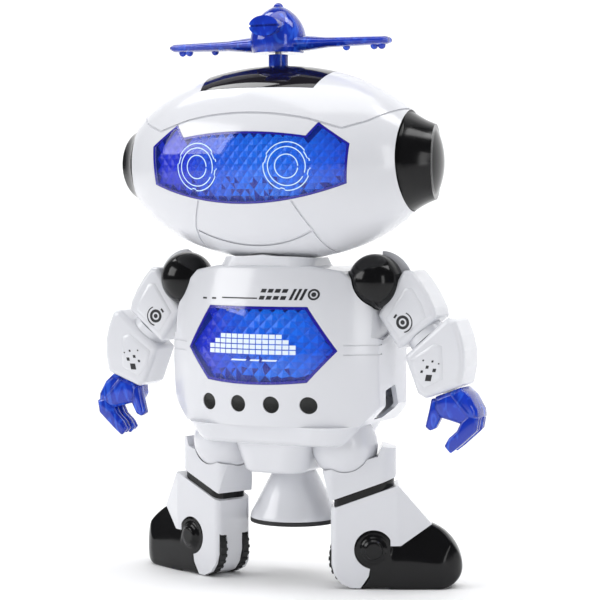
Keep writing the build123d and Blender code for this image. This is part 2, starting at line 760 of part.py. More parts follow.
def side_prism(points, half_width):
    with BuildPart() as solid:
        with BuildSketch(foot_side):
            with BuildLine():
                Polyline(*points, close=True)
            make_face()
        extrude(amount=half_width, both=True)
    return solid.part


def plan_prism(points, rounds):
    """An upright prism, its plan corners rounded, through points in the foot's ground frame."""
    with BuildPart() as solid:
        with BuildSketch(foot_ground.offset(-1)) as plan:
            with BuildLine():
                Polyline(*points, close=True)
            make_face()
            for x, radius in rounds:
                fillet(plan.vertices().filter_by(lambda corner: abs(corner.X - x) < 0.2), radius)
        extrude(amount=80)
    return solid.part


def block_plan(x_from, x_to, half_width):
    return (
        (x_from, -half_width),
        (x_to, -half_width),
        (x_to, half_width),
        (x_from, half_width),
    )


THIGH_BACK = -11.5
THIGH_FLARE = -14.6
THIGH_FRONT = 17.6
THIGH_CORNERS = ((THIGH_FLARE, 5.0), (THIGH_FRONT, 8.0))
thigh_outline = (
    (THIGH_BACK, band_top(THIGH_BACK)),
    (THIGH_FRONT, band_top(THIGH_FRONT)),
    (THIGH_FRONT, 61.3),
    (11.2, 62.4),
    (9.4, 58.0),
    (THIGH_FLARE, 51.3),
)

with BuildPart() as thigh_shell:
    add(side_prism(thigh_outline, FOOT_HALF_WIDTH))
    add(
        plan_prism(block_plan(THIGH_FLARE, THIGH_FRONT, FOOT_HALF_WIDTH), THIGH_CORNERS),
        mode=Mode.INTERSECT,
    )
    with Locations(HIP):
        Sphere(HIP_DOME_RADIUS + HIP_CLEARANCE, mode=Mode.SUBTRACT)
    with BuildSketch(foot_ground.offset(30)):
        with Locations((-HIP_SETBACK, 0)):
            Circle(HIP_PIN_RADIUS + RUNNING_GAP)
    extrude(amount=40, mode=Mode.SUBTRACT)

BAND_BACK = -9.6
BAND_FRONT = 16.6
BAND_CORNERS = ((BAND_BACK, 4.0), (BAND_FRONT, 7.2))
band_outline = (
    (BAND_BACK, boot_top(BAND_BACK)),
    (BAND_FRONT, boot_top(BAND_FRONT)),
    (BAND_FRONT, band_top(BAND_FRONT)),
    (BAND_BACK, band_top(BAND_BACK)),
)

with BuildPart() as knee_band:
    add(side_prism(band_outline, FOOT_HALF_WIDTH - BAND_INSET))
    add(
        plan_prism(
            block_plan(BAND_BACK, BAND_FRONT, FOOT_HALF_WIDTH - BAND_INSET),
            BAND_CORNERS,
        ),
        mode=Mode.INTERSECT,
    )
    with BuildSketch(foot_ground.offset(30)):
        with Locations((-HIP_SETBACK, 0)):
            Circle(HIP_PIN_RADIUS + 1.4)
    extrude(amount=30, mode=Mode.SUBTRACT)

# the foot's side outline, x along the foot and z up
ANKLE_FRONT = (33.0, 28.0)
NOTCH = (19.5, 19.1)
TOE_BACK_X = 15.0
SOLE_Z = 0.6
DISC_X = 7.7
DISC_Z = 17.5
DISC_RADIUS = 8.5
CHEEK = 1.6
WHEEL_INNER = 4.6
WHEEL_OUTER = 8.2
AXLE_RADIUS = 1.5

boot_outline = (
    (-11.0, boot_top(-11.0)),
    (18.3, boot_top(18.3)),
    ANKLE_FRONT,
    NOTCH,
    (TOE_BACK_X, NOTCH[1]),
    (TOE_BACK_X, SOLE_Z),
    (-2.0, SOLE_Z),
    (-6.4, 2.6),
    (-9.4, 6.4),
    (-11.0, 12.0),
)
TOE_BROW = (42.6, 21.0)
TOE_NOSE = (46.6, 9.6)
TOE_CHIN = (44.2, 2.9)
TOE_FOOT = (38.0, 0.0)
toe_outline = ((TOE_BACK_X, NOTCH[1]), NOTCH, ANKLE_FRONT)
cheek_outline = ((TOE_BACK_X, SOLE_Z), (2.0, SOLE_Z), (5.5, 5.7), (DISC_X, 17.5), (TOE_BACK_X, 19.1))


def toe_cheeks():
    """The thin side arms of the toe cap, with the ankle discs at their ends."""
    with BuildPart() as solid:
        with BuildSketch(foot_side):
            with BuildLine():
                Polyline(*cheek_outline, close=True)
            make_face()
            with Locations((DISC_X, DISC_Z)):
                Circle(DISC_RADIUS)
            with Locations((TOE_BACK_X + 10, 10)):
                Rectangle(20, 60, mode=Mode.SUBTRACT)
        extrude(amount=FOOT_HALF_WIDTH, both=True)
        with BuildSketch(foot_side):
            Rectangle(200, 200)
        extrude(amount=FOOT_HALF_WIDTH - CHEEK, both=True, mode=Mode.SUBTRACT)
    return solid.part


BOOT_BACK = -11.0
BOOT_SHOULDER = 18.0
BOOT_CORNERS = ((BOOT_BACK, 3.0), (BOOT_SHOULDER, 6.0))
boot_plan = (
    (BOOT_BACK, -FOOT_HALF_WIDTH),
    (BOOT_SHOULDER, -FOOT_HALF_WIDTH),
    (33.5, -4.6),
    (33.5, 4.6),
    (BOOT_SHOULDER, FOOT_HALF_WIDTH),
    (BOOT_BACK, FOOT_HALF_WIDTH),
)
TOE_TIP = 46.6
TOE_CORNERS = ((TOE_TIP, 8.5),)
TOE_SHOULDER = (10.0, 12.0)
TOE_BULGE = (8.2, 20.6)
TOE_CREST = (4.4, 28.4)
DISC_RING_RADIUS = 5.4
DISC_STUD_RADIUS = 4.0
DISC_RECESS_RADIUS = 7.0
toe_plan = block_plan(10.0, TOE_TIP, FOOT_HALF_WIDTH)
cheeks = toe_cheeks()

with BuildPart() as wheel_pockets:
    for y in (-(WHEEL_INNER + WHEEL_OUTER) / 2, (WHEEL_INNER + WHEEL_OUTER) / 2):
        with BuildSketch(foot_side.offset(y - (WHEEL_OUTER - WHEEL_INNER) / 2 - 0.2)):
            with Locations((HEEL_WHEEL_X, HEEL_WHEEL_RADIUS)):
                Circle(HEEL_WHEEL_RADIUS + 0.6)
        extrude(amount=WHEEL_OUTER - WHEEL_INNER + 0.4)
    with BuildSketch(foot_side):
        with Locations((HEEL_WHEEL_X, HEEL_WHEEL_RADIUS)):
            Circle(AXLE_RADIUS + RUNNING_GAP)
    extrude(amount=WHEEL_OUTER, both=True)

with BuildPart() as boot_shell:
    add(side_prism(boot_outline, FOOT_HALF_WIDTH))
    add(plan_prism(boot_plan, BOOT_CORNERS), mode=Mode.INTERSECT)
    add(cheeks, mode=Mode.SUBTRACT)
    add(wheel_pockets.part, mode=Mode.SUBTRACT)
    with BuildSketch(foot_ground.offset(HIP_PIN_BOTTOM - 4)):
        with Locations((-HIP_SETBACK, 0)):
            Circle(HIP_PIN_RADIUS + 1.4)
    extrude(amount=30, mode=Mode.SUBTRACT)

toe_section_plane = Plane(foot_ground.origin, x_dir=foot_ground.y_dir, z_dir=foot_ground.x_dir)

with BuildPart() as toe_cap:
    with BuildSketch(foot_side):
        with BuildLine():
            Polyline(*toe_outline)
            ThreePointArc(ANKLE_FRONT, TOE_BROW, TOE_NOSE)
            ThreePointArc(TOE_NOSE, TOE_CHIN, TOE_FOOT)
            Polyline(TOE_FOOT, (TOE_BACK_X, 0.0), (TOE_BACK_X, NOTCH[1]))
        make_face()
    extrude(amount=FOOT_HALF_WIDTH, both=True)
    add(plan_prism(toe_plan, TOE_CORNERS), mode=Mode.INTERSECT)
    with BuildSketch(toe_section_plane):
        with BuildLine():
            Line((0, -1), (TOE_SHOULDER[0], -1))
            Line((TOE_SHOULDER[0], -1), TOE_SHOULDER)
            ThreePointArc(TOE_SHOULDER, TOE_BULGE, TOE_CREST)
            Line(TOE_CREST, (0, TOE_CREST[1]))
            mirror(about=Plane.YZ)
        make_face()
    extrude(amount=60, mode=Mode.INTERSECT)
    add(cheeks)
    with BuildSketch(foot_side):
        with Locations((DISC_X, DISC_Z)):
            Circle(DISC_RING_RADIUS)
    extrude(amount=FOOT_HALF_WIDTH + 1.0, both=True)
    with BuildSketch(foot_side):
        with Locations((DISC_X, DISC_Z)):
            Circle(DISC_STUD_RADIUS)
    extrude(amount=FOOT_HALF_WIDTH + 2.2, both=True)
    with BuildSketch(foot_side):
        with Locations((DISC_X, DISC_Z)):
            Circle(DISC_RECESS_RADIUS)
    extrude(amount=FOOT_HALF_WIDTH - CHEEK, both=True, mode=Mode.SUBTRACT)

with BuildPart() as heel_wheels:
    for y in (-(WHEEL_INNER + WHEEL_OUTER) / 2, (WHEEL_INNER + WHEEL_OUTER) / 2):
        with BuildSketch(foot_side.offset(y - (WHEEL_OUTER - WHEEL_INNER) / 2)):
            with Locations((HEEL_WHEEL_X, HEEL_WHEEL_RADIUS)):
                Circle(HEEL_WHEEL_RADIUS)
        extrude(amount=WHEEL_OUTER - WHEEL_INNER)
    with BuildSketch(foot_side):
        with Locations((HEEL_WHEEL_X, HEEL_WHEEL_RADIUS)):
            Circle(AXLE_RADIUS)
    extrude(amount=WHEEL_OUTER, both=True)

with BuildPart() as hip_pins:
    with BuildSketch(Plane.XY.offset(HIP_PIN_BOTTOM)):
        with Locations(*BOTH_HIPS):
            Circle(HIP_PIN_RADIUS)
    extrude(amount=HIP_Z + 4 - HIP_PIN_BOTTOM)
    with BuildSketch(Plane.XY.offset(HIP_PIN_BOTTOM - 3)):
        with Locations(*BOTH_HIPS):
            Circle(HIP_PIN_RADIUS + 1.1)
    extrude(amount=3)

save_pair(thigh_shell.part, "thigh_shell")
save_pair(knee_band.part, "knee_band")
save_pair(boot_shell.part, "boot_shell")
save_pair(toe_cap.part, "toe_cap")
save_pair(heel_wheels.part, "heel_wheels")
save(hip_pins.part, "hip_pins")

# ---- arms, left side, drawn in the XZ plane ----
elbow_plane = Plane(
    origin=(ELBOW[0], ARM_MID_Y, ELBOW[1]),
    x_dir=(0, 1, 0),
    z_dir=(sin(radians(ELBOW_TILT)), 0, -cos(radians(ELBOW_TILT))),
)
wrist_plane = Plane(
    origin=(WRIST[0], ARM_MID_Y, WRIST[1]),
    x_dir=(0, 1, 0),
    z_dir=(sin(radians(WRIST_TILT)), 0, -cos(radians(WRIST_TILT))),
)


def across_elbow(along, down):
    """A point of the XZ plane, along the elbow's faces and down its axis."""
    tilt = radians(ELBOW_TILT)
    return (
        ELBOW[0] + along * cos(tilt) + down * sin(tilt),
        ELBOW[1] + along * sin(tilt) - down * cos(tilt),
    )


def across_wrist(along, down):
    tilt = radians(WRIST_TILT)
    return (
        WRIST[0] + along * cos(tilt) + down * sin(tilt),
        WRIST[1] + along * sin(tilt) - down * cos(tilt),
    )


UPPER_ARM_OUTLINE = (
    across_elbow(-11.2, 0),
    across_elbow(11.2, 0),
    (74.0, 123.4),
    (71.2, 129.0),
    (67.6, 134.4),
    (63.6, 139.0),
    (59.6, 138.9),
    (47.8, 119.9),
)
FOREARM_OUTLINE = (
    across_elbow(-10.8, ELBOW_GAP),
    across_elbow(15.0, ELBOW_GAP),
    (83.6, 118.2),
    (86.2, 111.8),
    (87.7, 105.4),
    (87.8, 98.6),
    across_wrist(8.6, 0),
    across_wrist(-8.6, 0),
    (66.6, 86.4),
)
EDGE_ROUND = 1.8
FACE_ROUND = 2.6


def arm_block(outline, inset, half_depth, rounded):
    with BuildPart() as solid:
        with BuildSketch(Plane.XZ.offset(-ARM_MID_Y)):
            with BuildLine():
                Polyline(*outline, close=True)
            face = make_face()
            if inset:
                offset(amount=-inset)
            else:
                fillet(face.vertices(), EDGE_ROUND)
        extrude(amount=half_depth, both=True)
        if rounded:
            fillet(solid.faces().sort_by(Axis.Y)[0].edges(), FACE_ROUND)
            fillet(solid.faces().sort_by(Axis.Y)[-1].edges(), FACE_ROUND)
    return solid.part


def arm_halves(outline, holes):
    """The front and back half shells of one arm section."""
    with BuildPart() as body:
        add(arm_block(outline, 0, ARM_DEPTH / 2, True))
        add(arm_block(outline, ARM_WALL, ARM_DEPTH / 2 - ARM_WALL, False), mode=Mode.SUBTRACT)
        for hole in holes:
            add(hole, mode=Mode.SUBTRACT)
    front = split(body.part, bisect_by=Plane.XZ.offset(-ARM_MID_Y), keep=Keep.TOP)
    back = split(body.part, bisect_by=Plane.XZ.offset(-ARM_MID_Y), keep=Keep.BOTTOM)
    return front, back


def peg(plane, radius, start, length):
    with BuildPart() as solid:
        with BuildSketch(plane.offset(start)):
            Circle(radius)
        extrude(amount=length)
    return solid.part


PIN_RADIUS = 3.5
PIN_HEAD_RADIUS = 5.2
elbow_bore = peg(elbow_plane, PIN_RADIUS + RUNNING_GAP, -8, 16)
wrist_bore = peg(wrist_plane, PIN_RADIUS + RUNNING_GAP, -8, 16)
ball_clearance = Pos(*SHOULDER) * Sphere(SHOULDER_BALL_RADIUS)

upper_arm_front, upper_arm_back_half = arm_halves(UPPER_ARM_OUTLINE, (elbow_bore, ball_clearance))
forearm_front, forearm_back = arm_halves(
    FOREARM_OUTLINE,
    (wrist_bore, peg(elbow_plane, PIN_RADIUS, ELBOW_GAP - 1, 6)),
)

with BuildPart() as shoulder_hood:
    with Locations(Vector(SHOULDER) + Vector(SHOULDER_HOOD_SHIFT)):
        Sphere(SHOULDER_HOOD_RADIUS)
    with Locations(SHOULDER):
        Sphere(SHOULDER_BALL_RADIUS, mode=Mode.SUBTRACT)
    with Locations((SHOULDER_PLANE + 0.4 + 20, SHOULDER[1] + 3.5 + 20, SHOULDER[2] + 4)):
        Box(40, 40, 24, mode=Mode.INTERSECT)

with BuildPart() as upper_arm_back:
    add(upper_arm_back_half)
    add(shoulder_hood.part - arm_block(UPPER_ARM_OUTLINE, 0, ARM_DEPTH / 2, False))

SHAFT_END_X = 22.4
shoulder_axle_plane = Plane(origin=SHOULDER, x_dir=(0, 1, 0), z_dir=(-1, 0, 0))

with BuildPart() as shoulder_ball:
    with Locations(SHOULDER):
        Sphere(SHOULDER_BALL_RADIUS)
    with BuildSketch(shoulder_axle_plane):
        Circle(SHAFT_FIT_RADIUS)
    extrude(amount=SHOULDER[0] - SHAFT_END_X)
    with BuildSketch(shoulder_axle_plane.offset(SHOULDER[0] - SHAFT_END_X)):
        Circle(SHAFT_FIT_RADIUS + 0.6)
    extrude(amount=1.6)

with BuildPart() as forearm_back_with_elbow:
    add(forearm_back)
    add(peg(elbow_plane, ELBOW_RADIUS, RUNNING_GAP, ELBOW_GAP - RUNNING_GAP))
    add(peg(elbow_plane, PIN_RADIUS, -4.2, 4.2 + ELBOW_GAP + 3.5))
    add(peg(elbow_plane, PIN_HEAD_RADIUS, -4.2, 2.0))

# ---- hand: four curled fingers and a thumb ----
HAND_OUTLINE = (
    across_wrist(-6.4, WRIST_GAP),
    across_wrist(8.0, WRIST_GAP),
    (89.5, 86.2),
    (92.9, 79.9),
    (93.4, 76.4),
    (91.9, 70.3),
    (80.7, 61.2),
    (77.7, 64.4),
    (81.3, 70.6),
    (79.4, 73.2),
    (75.4, 76.0),
    (73.4, 79.6),
)
THUMB_OUTLINE = (
    across_wrist(-6.4, WRIST_GAP),
    (70.5, 79.4),
    (68.4, 72.0),
    (70.8, 70.4),
    (72.9, 71.4),
    (75.2, 75.6),
    (77.0, 80.0),
    across_wrist(-1.0, WRIST_GAP),
)
FINGER_ZONE = ((96, 79), (96, 56), (72, 56), (76, 68), (82, 74), (86, 77))
FINGER_GAP = 0.8
FINGER_PITCH = HAND_DEPTH / 4

with BuildPart() as hand:
    add(front_prism(HAND_OUTLINE, ARM_MID_Y - HAND_DEPTH / 2, ARM_MID_Y + HAND_DEPTH / 2))
    for step in (-1, 0, 1):
        y = ARM_MID_Y + step * FINGER_PITCH
        add(front_prism(FINGER_ZONE, y - FINGER_GAP / 2, y + FINGER_GAP / 2), mode=Mode.SUBTRACT)
    thumb_y = ARM_MID_Y - HAND_DEPTH / 2
    add(front_prism(THUMB_OUTLINE, thumb_y, thumb_y + 5.4))
    add(peg(wrist_plane, PIN_RADIUS, -4.4, 6.4))
    add(peg(wrist_plane, PIN_HEAD_RADIUS, -4.4, 2.0))

save_pair(shoulder_ball.part, "shoulder_ball")
save_pair(upper_arm_front, "upper_arm_front")
save_pair(upper_arm_back.part, "upper_arm_back")
save_pair(forearm_front, "forearm_front")
save_pair(forearm_back_with_elbow.part, "forearm_back")
save_pair(hand.part, "hand")

# ---- shoulder frame ----
with BuildPart() as shoulder_frame:
    with Locations((0, 1, 123.5)):
        Box(62, 14, 3)
    with Locations((-27.5, 1, 130.2), (27.5, 1, 130.2)):
        Box(7, 11, 10.4)
    for x in (-32, 22):
        with BuildSketch(Plane.YZ.offset(x)):
            with Locations((SHOULDER[1], SHOULDER[2])):
                Circle(SHAFT_FIT_RADIUS + RUNNING_GAP)
        extrude(amount=10, mode=Mode.SUBTRACT)

# ---- battery box, on its back ----
CELL_RADIUS = 7.1
CELL_LENGTH = 50.0
CELL_PITCH = 14.9
CELL_Y = 26.0
CELL_Z = 107.0
HOLDER_FRONT_Y = 16.5
HOLDER_BACK_Y = 33.8
HOLDER_SIZE = (55.0, 45.6)
DOOR_SCREW_Z = 81.8
CELL_CENTRES = [CELL_Z + row * CELL_PITCH for row in (-1, 0, 1)]

with BuildPart() as battery_holder:
    with BuildSketch(Plane.XZ.offset(-HOLDER_BACK_Y)):
        with Locations((0, CELL_Z)):
            Rectangle(*HOLDER_SIZE)
    extrude(amount=HOLDER_BACK_Y - HOLDER_FRONT_Y)
    for z in CELL_CENTRES:
        with BuildSketch(Plane.YZ.offset(-CELL_LENGTH / 2 - 0.9)):
            with Locations((CELL_Y, z)):
                Circle(CELL_RADIUS + 0.25)
            with Locations((CELL_Y + 10, z)):
                Rectangle(20, 2 * CELL_RADIUS - 2)
        extrude(amount=CELL_LENGTH + 1.8, mode=Mode.SUBTRACT)
    with Locations((0, (HOLDER_FRONT_Y + HOLDER_BACK_Y) / 2, DOOR_SCREW_Z + 0.7)):
        Box(8, HOLDER_BACK_Y - HOLDER_FRONT_Y, 4)
    with BuildSketch(Plane.XZ.offset(-HOLDER_BACK_Y - 1)):
        with Locations((0, DOOR_SCREW_Z)):
            Circle(1.0)
    extrude(amount=12, mode=Mode.SUBTRACT)

with BuildPart() as batteries:
    for row, z in enumerate(CELL_CENTRES):
        direction = 1 if row % 2 else -1
        with BuildSketch(Plane.YZ.offset(-CELL_LENGTH / 2 + 0.7)):
            with Locations((CELL_Y, z)):
                Circle(CELL_RADIUS)
        extrude(amount=CELL_LENGTH - 1.4)
        with BuildSketch(Plane.YZ.offset(direction * (CELL_LENGTH / 2 - 0.35) - 0.35)):
            with Locations((CELL_Y, z)):
                Circle(2.7)
        extrude(amount=0.7)

with BuildPart() as battery_contacts:
    for x in (-CELL_LENGTH / 2 - 0.4, CELL_LENGTH / 2 + 0.1):
        with BuildSketch(Plane.YZ.offset(x)):
            with Locations(*[(CELL_Y, z) for z in CELL_CENTRES]):
                Rectangle(9, 9)
        extrude(amount=0.3)

with BuildPart() as battery_cover:
    with BuildSketch(Plane.XZ.offset(-REAR_FACE)):
        with Locations((0, (DOOR_BOTTOM + DOOR_TOP) / 2)):
            RectangleRounded(2 * DOOR_HALF_WIDTH - 0.3, DOOR_TOP - DOOR_BOTTOM - 0.3, 0.8)
    extrude(amount=WALL)
    with BuildSketch(Plane.XZ.offset(-REAR_FACE)):
        with Locations((0, DOOR_SCREW_Z)):
            Circle(2.1)
    extrude(amount=1.4, mode=Mode.SUBTRACT)
    with BuildSketch(Plane.XZ.offset(-REAR_FACE)):
        with Locations((0, DOOR_SCREW_Z)):
            Circle(1.15)
    extrude(amount=4, mode=Mode.SUBTRACT)
    for z in (118.0, 121.0, 124.0):
        with Locations((0, REAR_FACE, z)):
            Box(16, 1.2, 1.2, mode=Mode.SUBTRACT)

with BuildPart() as cover_screw:
    with BuildSketch(Plane.XZ.offset(-REAR_FACE + 0.1)):
        with Locations((0, DOOR_SCREW_Z)):
            Circle(2.0)
    extrude(amount=1.3)
    with BuildSketch(Plane.XZ.offset(-REAR_FACE + 1.4)):
        with Locations((0, DOOR_SCREW_Z)):
            Circle(1.0)
    extrude(amount=10)

with BuildPart() as case_screws:
    with BuildSketch(Plane.XZ.offset(-REAR_FACE + 0.3)):
        with Locations(*CASE_SCREWS):
            Circle(1.5)
    extrude(amount=WALL - 0.3)
    with BuildSketch(Plane.XZ.offset(-REAR_FACE + WALL)):
        with Locations(*CASE_SCREWS):
            Circle(1.1)
    extrude(amount=20)

with BuildPart() as power_switch:
    with Locations((-SWITCH_TRAVEL / 2, REAR_FACE - 1.2, SWITCH_Z)):
        Box(4.8, 4.0, 3.0)
    with Locations((-SWITCH_TRAVEL / 2, REAR_FACE - 3.6, SWITCH_Z)):
        Box(12.0, 1.0, 4.2)

# ---- electronics ----
with BuildPart() as speaker:
    with BuildSketch(Plane.XZ.offset(13)):
        with Locations((10, 86)):
            Circle(8)
    extrude(amount=2.5)
    with BuildSketch(Plane.XZ.offset(15.5)):
        with Locations((10, 86)):
            Circle(11.5)
    extrude(amount=2.0)

with BuildPart() as main_board:
    with BuildSketch(Plane.XZ.offset(-7.8)):
        with Locations((4, 99)):
            Rectangle(56, 38)
    extrude(amount=1.6)
    with BuildSketch(Plane.XZ.offset(-6.2)):
        with Locations((14, 104)):
            Rectangle(9, 9)
        with Locations((-10, 110), (-4, 110)):
            Circle(2)
    extrude(amount=2)

LIGHT_BOARD_Y = -17.0
EYE_X = 21.2
EYE_Z = HEAD_Z - 2.2

with BuildPart() as head_frame:
    with BuildSketch(Plane.XZ.offset(-LIGHT_BOARD_Y - 2)):
        with Locations((0, (NECK_TOP + HEAD_Z - 8) / 2)):
            Rectangle(18, HEAD_Z - 8 - NECK_TOP)
        with Locations((0, HEAD_Z - 2)):
            Rectangle(54, 16)
    extrude(amount=2)
    with Locations((0, -4, NECK_TOP + 1)):
        Box(18, 24, 2)

with BuildPart() as head_light_board:
    with BuildSketch(Plane.XZ.offset(-LIGHT_BOARD_Y)):
        with Locations((0, HEAD_Z - 2)):
            Rectangle(52, 12)
    extrude(amount=1.6)
    with BuildSketch(Plane.XZ.offset(-LIGHT_BOARD_Y + 1.6)):
        with Locations((-EYE_X, EYE_Z), (EYE_X, EYE_Z)):
            Circle(2.5)
    extrude(amount=5)

# ---- gearbox ----
IDLER = (0.0, BASE_AXIS_Y - GEAR_CENTRES)
MOTOR_AXIS = (
    IDLER[0] + GEAR_CENTRES * cos(radians(MOTOR_BEARING)),
    IDLER[1] + GEAR_CENTRES * sin(radians(MOTOR_BEARING)),
)
GEAR_LOW_Z = 67.2
GEAR_HIGH_Z = 69.9
GEAR_HEIGHT = 2.2
PLATE_LOW_Z = 64.8
PLATE_TOP_Z = 72.8
PLATE_HEIGHT = 1.5
IDLER_PIN_RADIUS = 1.5
MOTOR_SHAFT_RADIUS = 1.0
PLATE_MIDDLE = (-4.0, 7.5)
PLATE_SIZE = (42.0, 37.0)
PILLARS = ((-23.0, 24.0), (15.0, 24.0), (15.0, -9.0), (-23.0, -9.0))
TOOTH_SHAPE = ((-0.30, -1.0), (-0.10, 0.7), (0.10, 0.7), (0.30, -1.0))


def gear_disc(teeth, centre, phase_degrees, z):
    """A spur gear with straight-sided teeth, one of them pointing along the phase."""
    pitch_radius = GEAR_MODULE * teeth / 2
    points = []
    for tooth in range(teeth):
        for share, height in TOOTH_SHAPE:
            angle = radians(phase_degrees + (tooth + share) * 360 / teeth)
            radius = pitch_radius + height * GEAR_MODULE
            points.append((centre[0] + radius * cos(angle), centre[1] + radius * sin(angle)))
    with BuildPart() as solid:
        with BuildSketch(Plane.XY.offset(z)):
            with BuildLine():
                Polyline(*points, close=True)
            make_face()
        extrude(amount=GEAR_HEIGHT)
    return solid.part


def round_peg(centre, radius, z, height):
    with BuildPart() as solid:
        with BuildSketch(Plane.XY.offset(z)):
            with Locations(centre):
                Circle(radius)
        extrude(amount=height)
    return solid.part


BASE_AXIS = (0.0, BASE_AXIS_Y)

with BuildPart() as output_gear:
    add(gear_disc(WHEEL_TEETH, BASE_AXIS, 270.0, GEAR_LOW_Z))
    add(round_peg(BASE_AXIS, DRIVE_SHAFT_RADIUS, GEAR_LOW_Z - 1, 10), mode=Mode.SUBTRACT)

with BuildPart() as idler_gear:
    add(gear_disc(PINION_TEETH, IDLER, 90.0 + 180.0 / PINION_TEETH, GEAR_LOW_Z))
    add(round_peg(IDLER, 2.6, GEAR_LOW_Z + GEAR_HEIGHT, GEAR_HIGH_Z - GEAR_LOW_Z - GEAR_HEIGHT))
    add(gear_disc(WHEEL_TEETH, IDLER, MOTOR_BEARING, GEAR_HIGH_Z))
    add(round_peg(IDLER, IDLER_PIN_RADIUS + RUNNING_GAP, GEAR_LOW_Z - 1, 10), mode=Mode.SUBTRACT)

with BuildPart() as motor_pinion:
    add(gear_disc(PINION_TEETH, MOTOR_AXIS, MOTOR_BEARING - 180.0 + 180.0 / PINION_TEETH, GEAR_HIGH_Z))
    add(round_peg(MOTOR_AXIS, MOTOR_SHAFT_RADIUS, GEAR_HIGH_Z, 10))

with BuildPart() as gearbox_frame:
    for z in (PLATE_LOW_Z, PLATE_TOP_Z):
        with BuildSketch(Plane.XY.offset(z)):
            with Locations(PLATE_MIDDLE):
                Rectangle(*PLATE_SIZE)
            with Locations(BASE_AXIS):
                Circle(DRIVE_SHAFT_RADIUS + RUNNING_GAP, mode=Mode.SUBTRACT)
            with Locations(MOTOR_AXIS):
                Circle(3.4, mode=Mode.SUBTRACT)
        extrude(amount=PLATE_HEIGHT)
    for centre in PILLARS:
        add(round_peg(centre, 1.6, PLATE_LOW_Z, PLATE_TOP_Z - PLATE_LOW_Z))
    add(round_peg(IDLER, IDLER_PIN_RADIUS, PLATE_LOW_Z, PLATE_TOP_Z - PLATE_LOW_Z))

MOTOR_BOTTOM = PLATE_TOP_Z + PLATE_HEIGHT
MOTOR_LENGTH = 25.0

with BuildPart() as motor:
    with BuildSketch(Plane.XY.offset(MOTOR_BOTTOM)):
        with Locations(MOTOR_AXIS):
            Circle(10.0)
            Rectangle(30.0, 15.0, mode=Mode.INTERSECT)
    extrude(amount=MOTOR_LENGTH)
    add(round_peg(MOTOR_AXIS, 3.0, MOTOR_BOTTOM + MOTOR_LENGTH, 1.6))
    add(round_peg(MOTOR_AXIS, MOTOR_SHAFT_RADIUS + RUNNING_GAP, MOTOR_BOTTOM, 8.0), mode=Mode.SUBTRACT)

# ---- turntable base ----
CONE_TOP_Z = 49.0
CONE_BOSS_RADIUS = 5.0
SHAFT_FOOT_Z = 31.0

with BuildPart() as base_cone:
    with BuildSketch(Plane.YZ):
        with BuildLine():
            Line((BASE_AXIS_Y, BASE_RIM_Z), (BASE_AXIS_Y + BASE_RIM_RADIUS, BASE_RIM_Z))
            Line(
                (BASE_AXIS_Y + BASE_RIM_RADIUS, BASE_RIM_Z),
                (BASE_AXIS_Y + BASE_RIM_RADIUS - 0.6, BASE_RIM_Z + 2.2),
            )
            Line(
                (BASE_AXIS_Y + BASE_RIM_RADIUS - 0.6, BASE_RIM_Z + 2.2),
                (BASE_AXIS_Y + BASE_TOP_RADIUS, CONE_TOP_Z),
            )
            Line((BASE_AXIS_Y + BASE_TOP_RADIUS, CONE_TOP_Z), (BASE_AXIS_Y, CONE_TOP_Z))
            Line((BASE_AXIS_Y, CONE_TOP_Z), (BASE_AXIS_Y, BASE_RIM_Z))
        make_face()
    revolve(axis=Axis((0, BASE_AXIS_Y, 0), (0, 0, 1)))
    with BuildSketch(Plane.XY.offset(BASE_RIM_Z)):
        with Locations(BASE_AXIS):
            Circle(BASE_RIM_RADIUS - 2.6)
    extrude(amount=16, taper=24, mode=Mode.SUBTRACT)
    add(round_peg(BASE_AXIS, CONE_BOSS_RADIUS, BASE_RIM_Z, 18))
    add(round_peg(BASE_AXIS, DRIVE_SHAFT_RADIUS, SHAFT_FOOT_Z, 30), mode=Mode.SUBTRACT)

with BuildPart() as base_ring:
    add(round_peg(BASE_AXIS, BASE_RIM_RADIUS - 0.1, BASE_RING_Z, BASE_RIM_Z - BASE_RING_Z))

with BuildPart() as drive_shaft:
    add(round_peg(BASE_AXIS, DRIVE_SHAFT_RADIUS, SHAFT_FOOT_Z, MOTOR_BOTTOM + 1 - SHAFT_FOOT_Z))

for piece, name in (
    (shoulder_frame, "shoulder_frame"),
    (battery_holder, "battery_holder"),
    (batteries, "batteries"),
    (battery_contacts, "battery_contacts"),
    (battery_cover, "battery_cover"),
    (cover_screw, "cover_screw"),
    (case_screws, "case_screws"),
    (power_switch, "power_switch"),
    (speaker, "speaker"),
    (main_board, "main_board"),
    (head_frame, "head_frame"),
    (head_light_board, "head_light_board"),
    (output_gear, "output_gear"),
    (idler_gear, "idler_gear"),
    (motor_pinion, "motor_pinion"),
    (gearbox_frame, "gearbox_frame"),
    (motor, "motor"),
    (base_cone, "base_cone"),
    (base_ring, "base_ring"),
    (drive_shaft, "drive_shaft"),
):
    save(piece.part, name)
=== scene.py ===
import json
import random
from math import atan2, cos, hypot, pi, radians, sin, sqrt

import bmesh
import bpy
from mathutils import Matrix, Vector

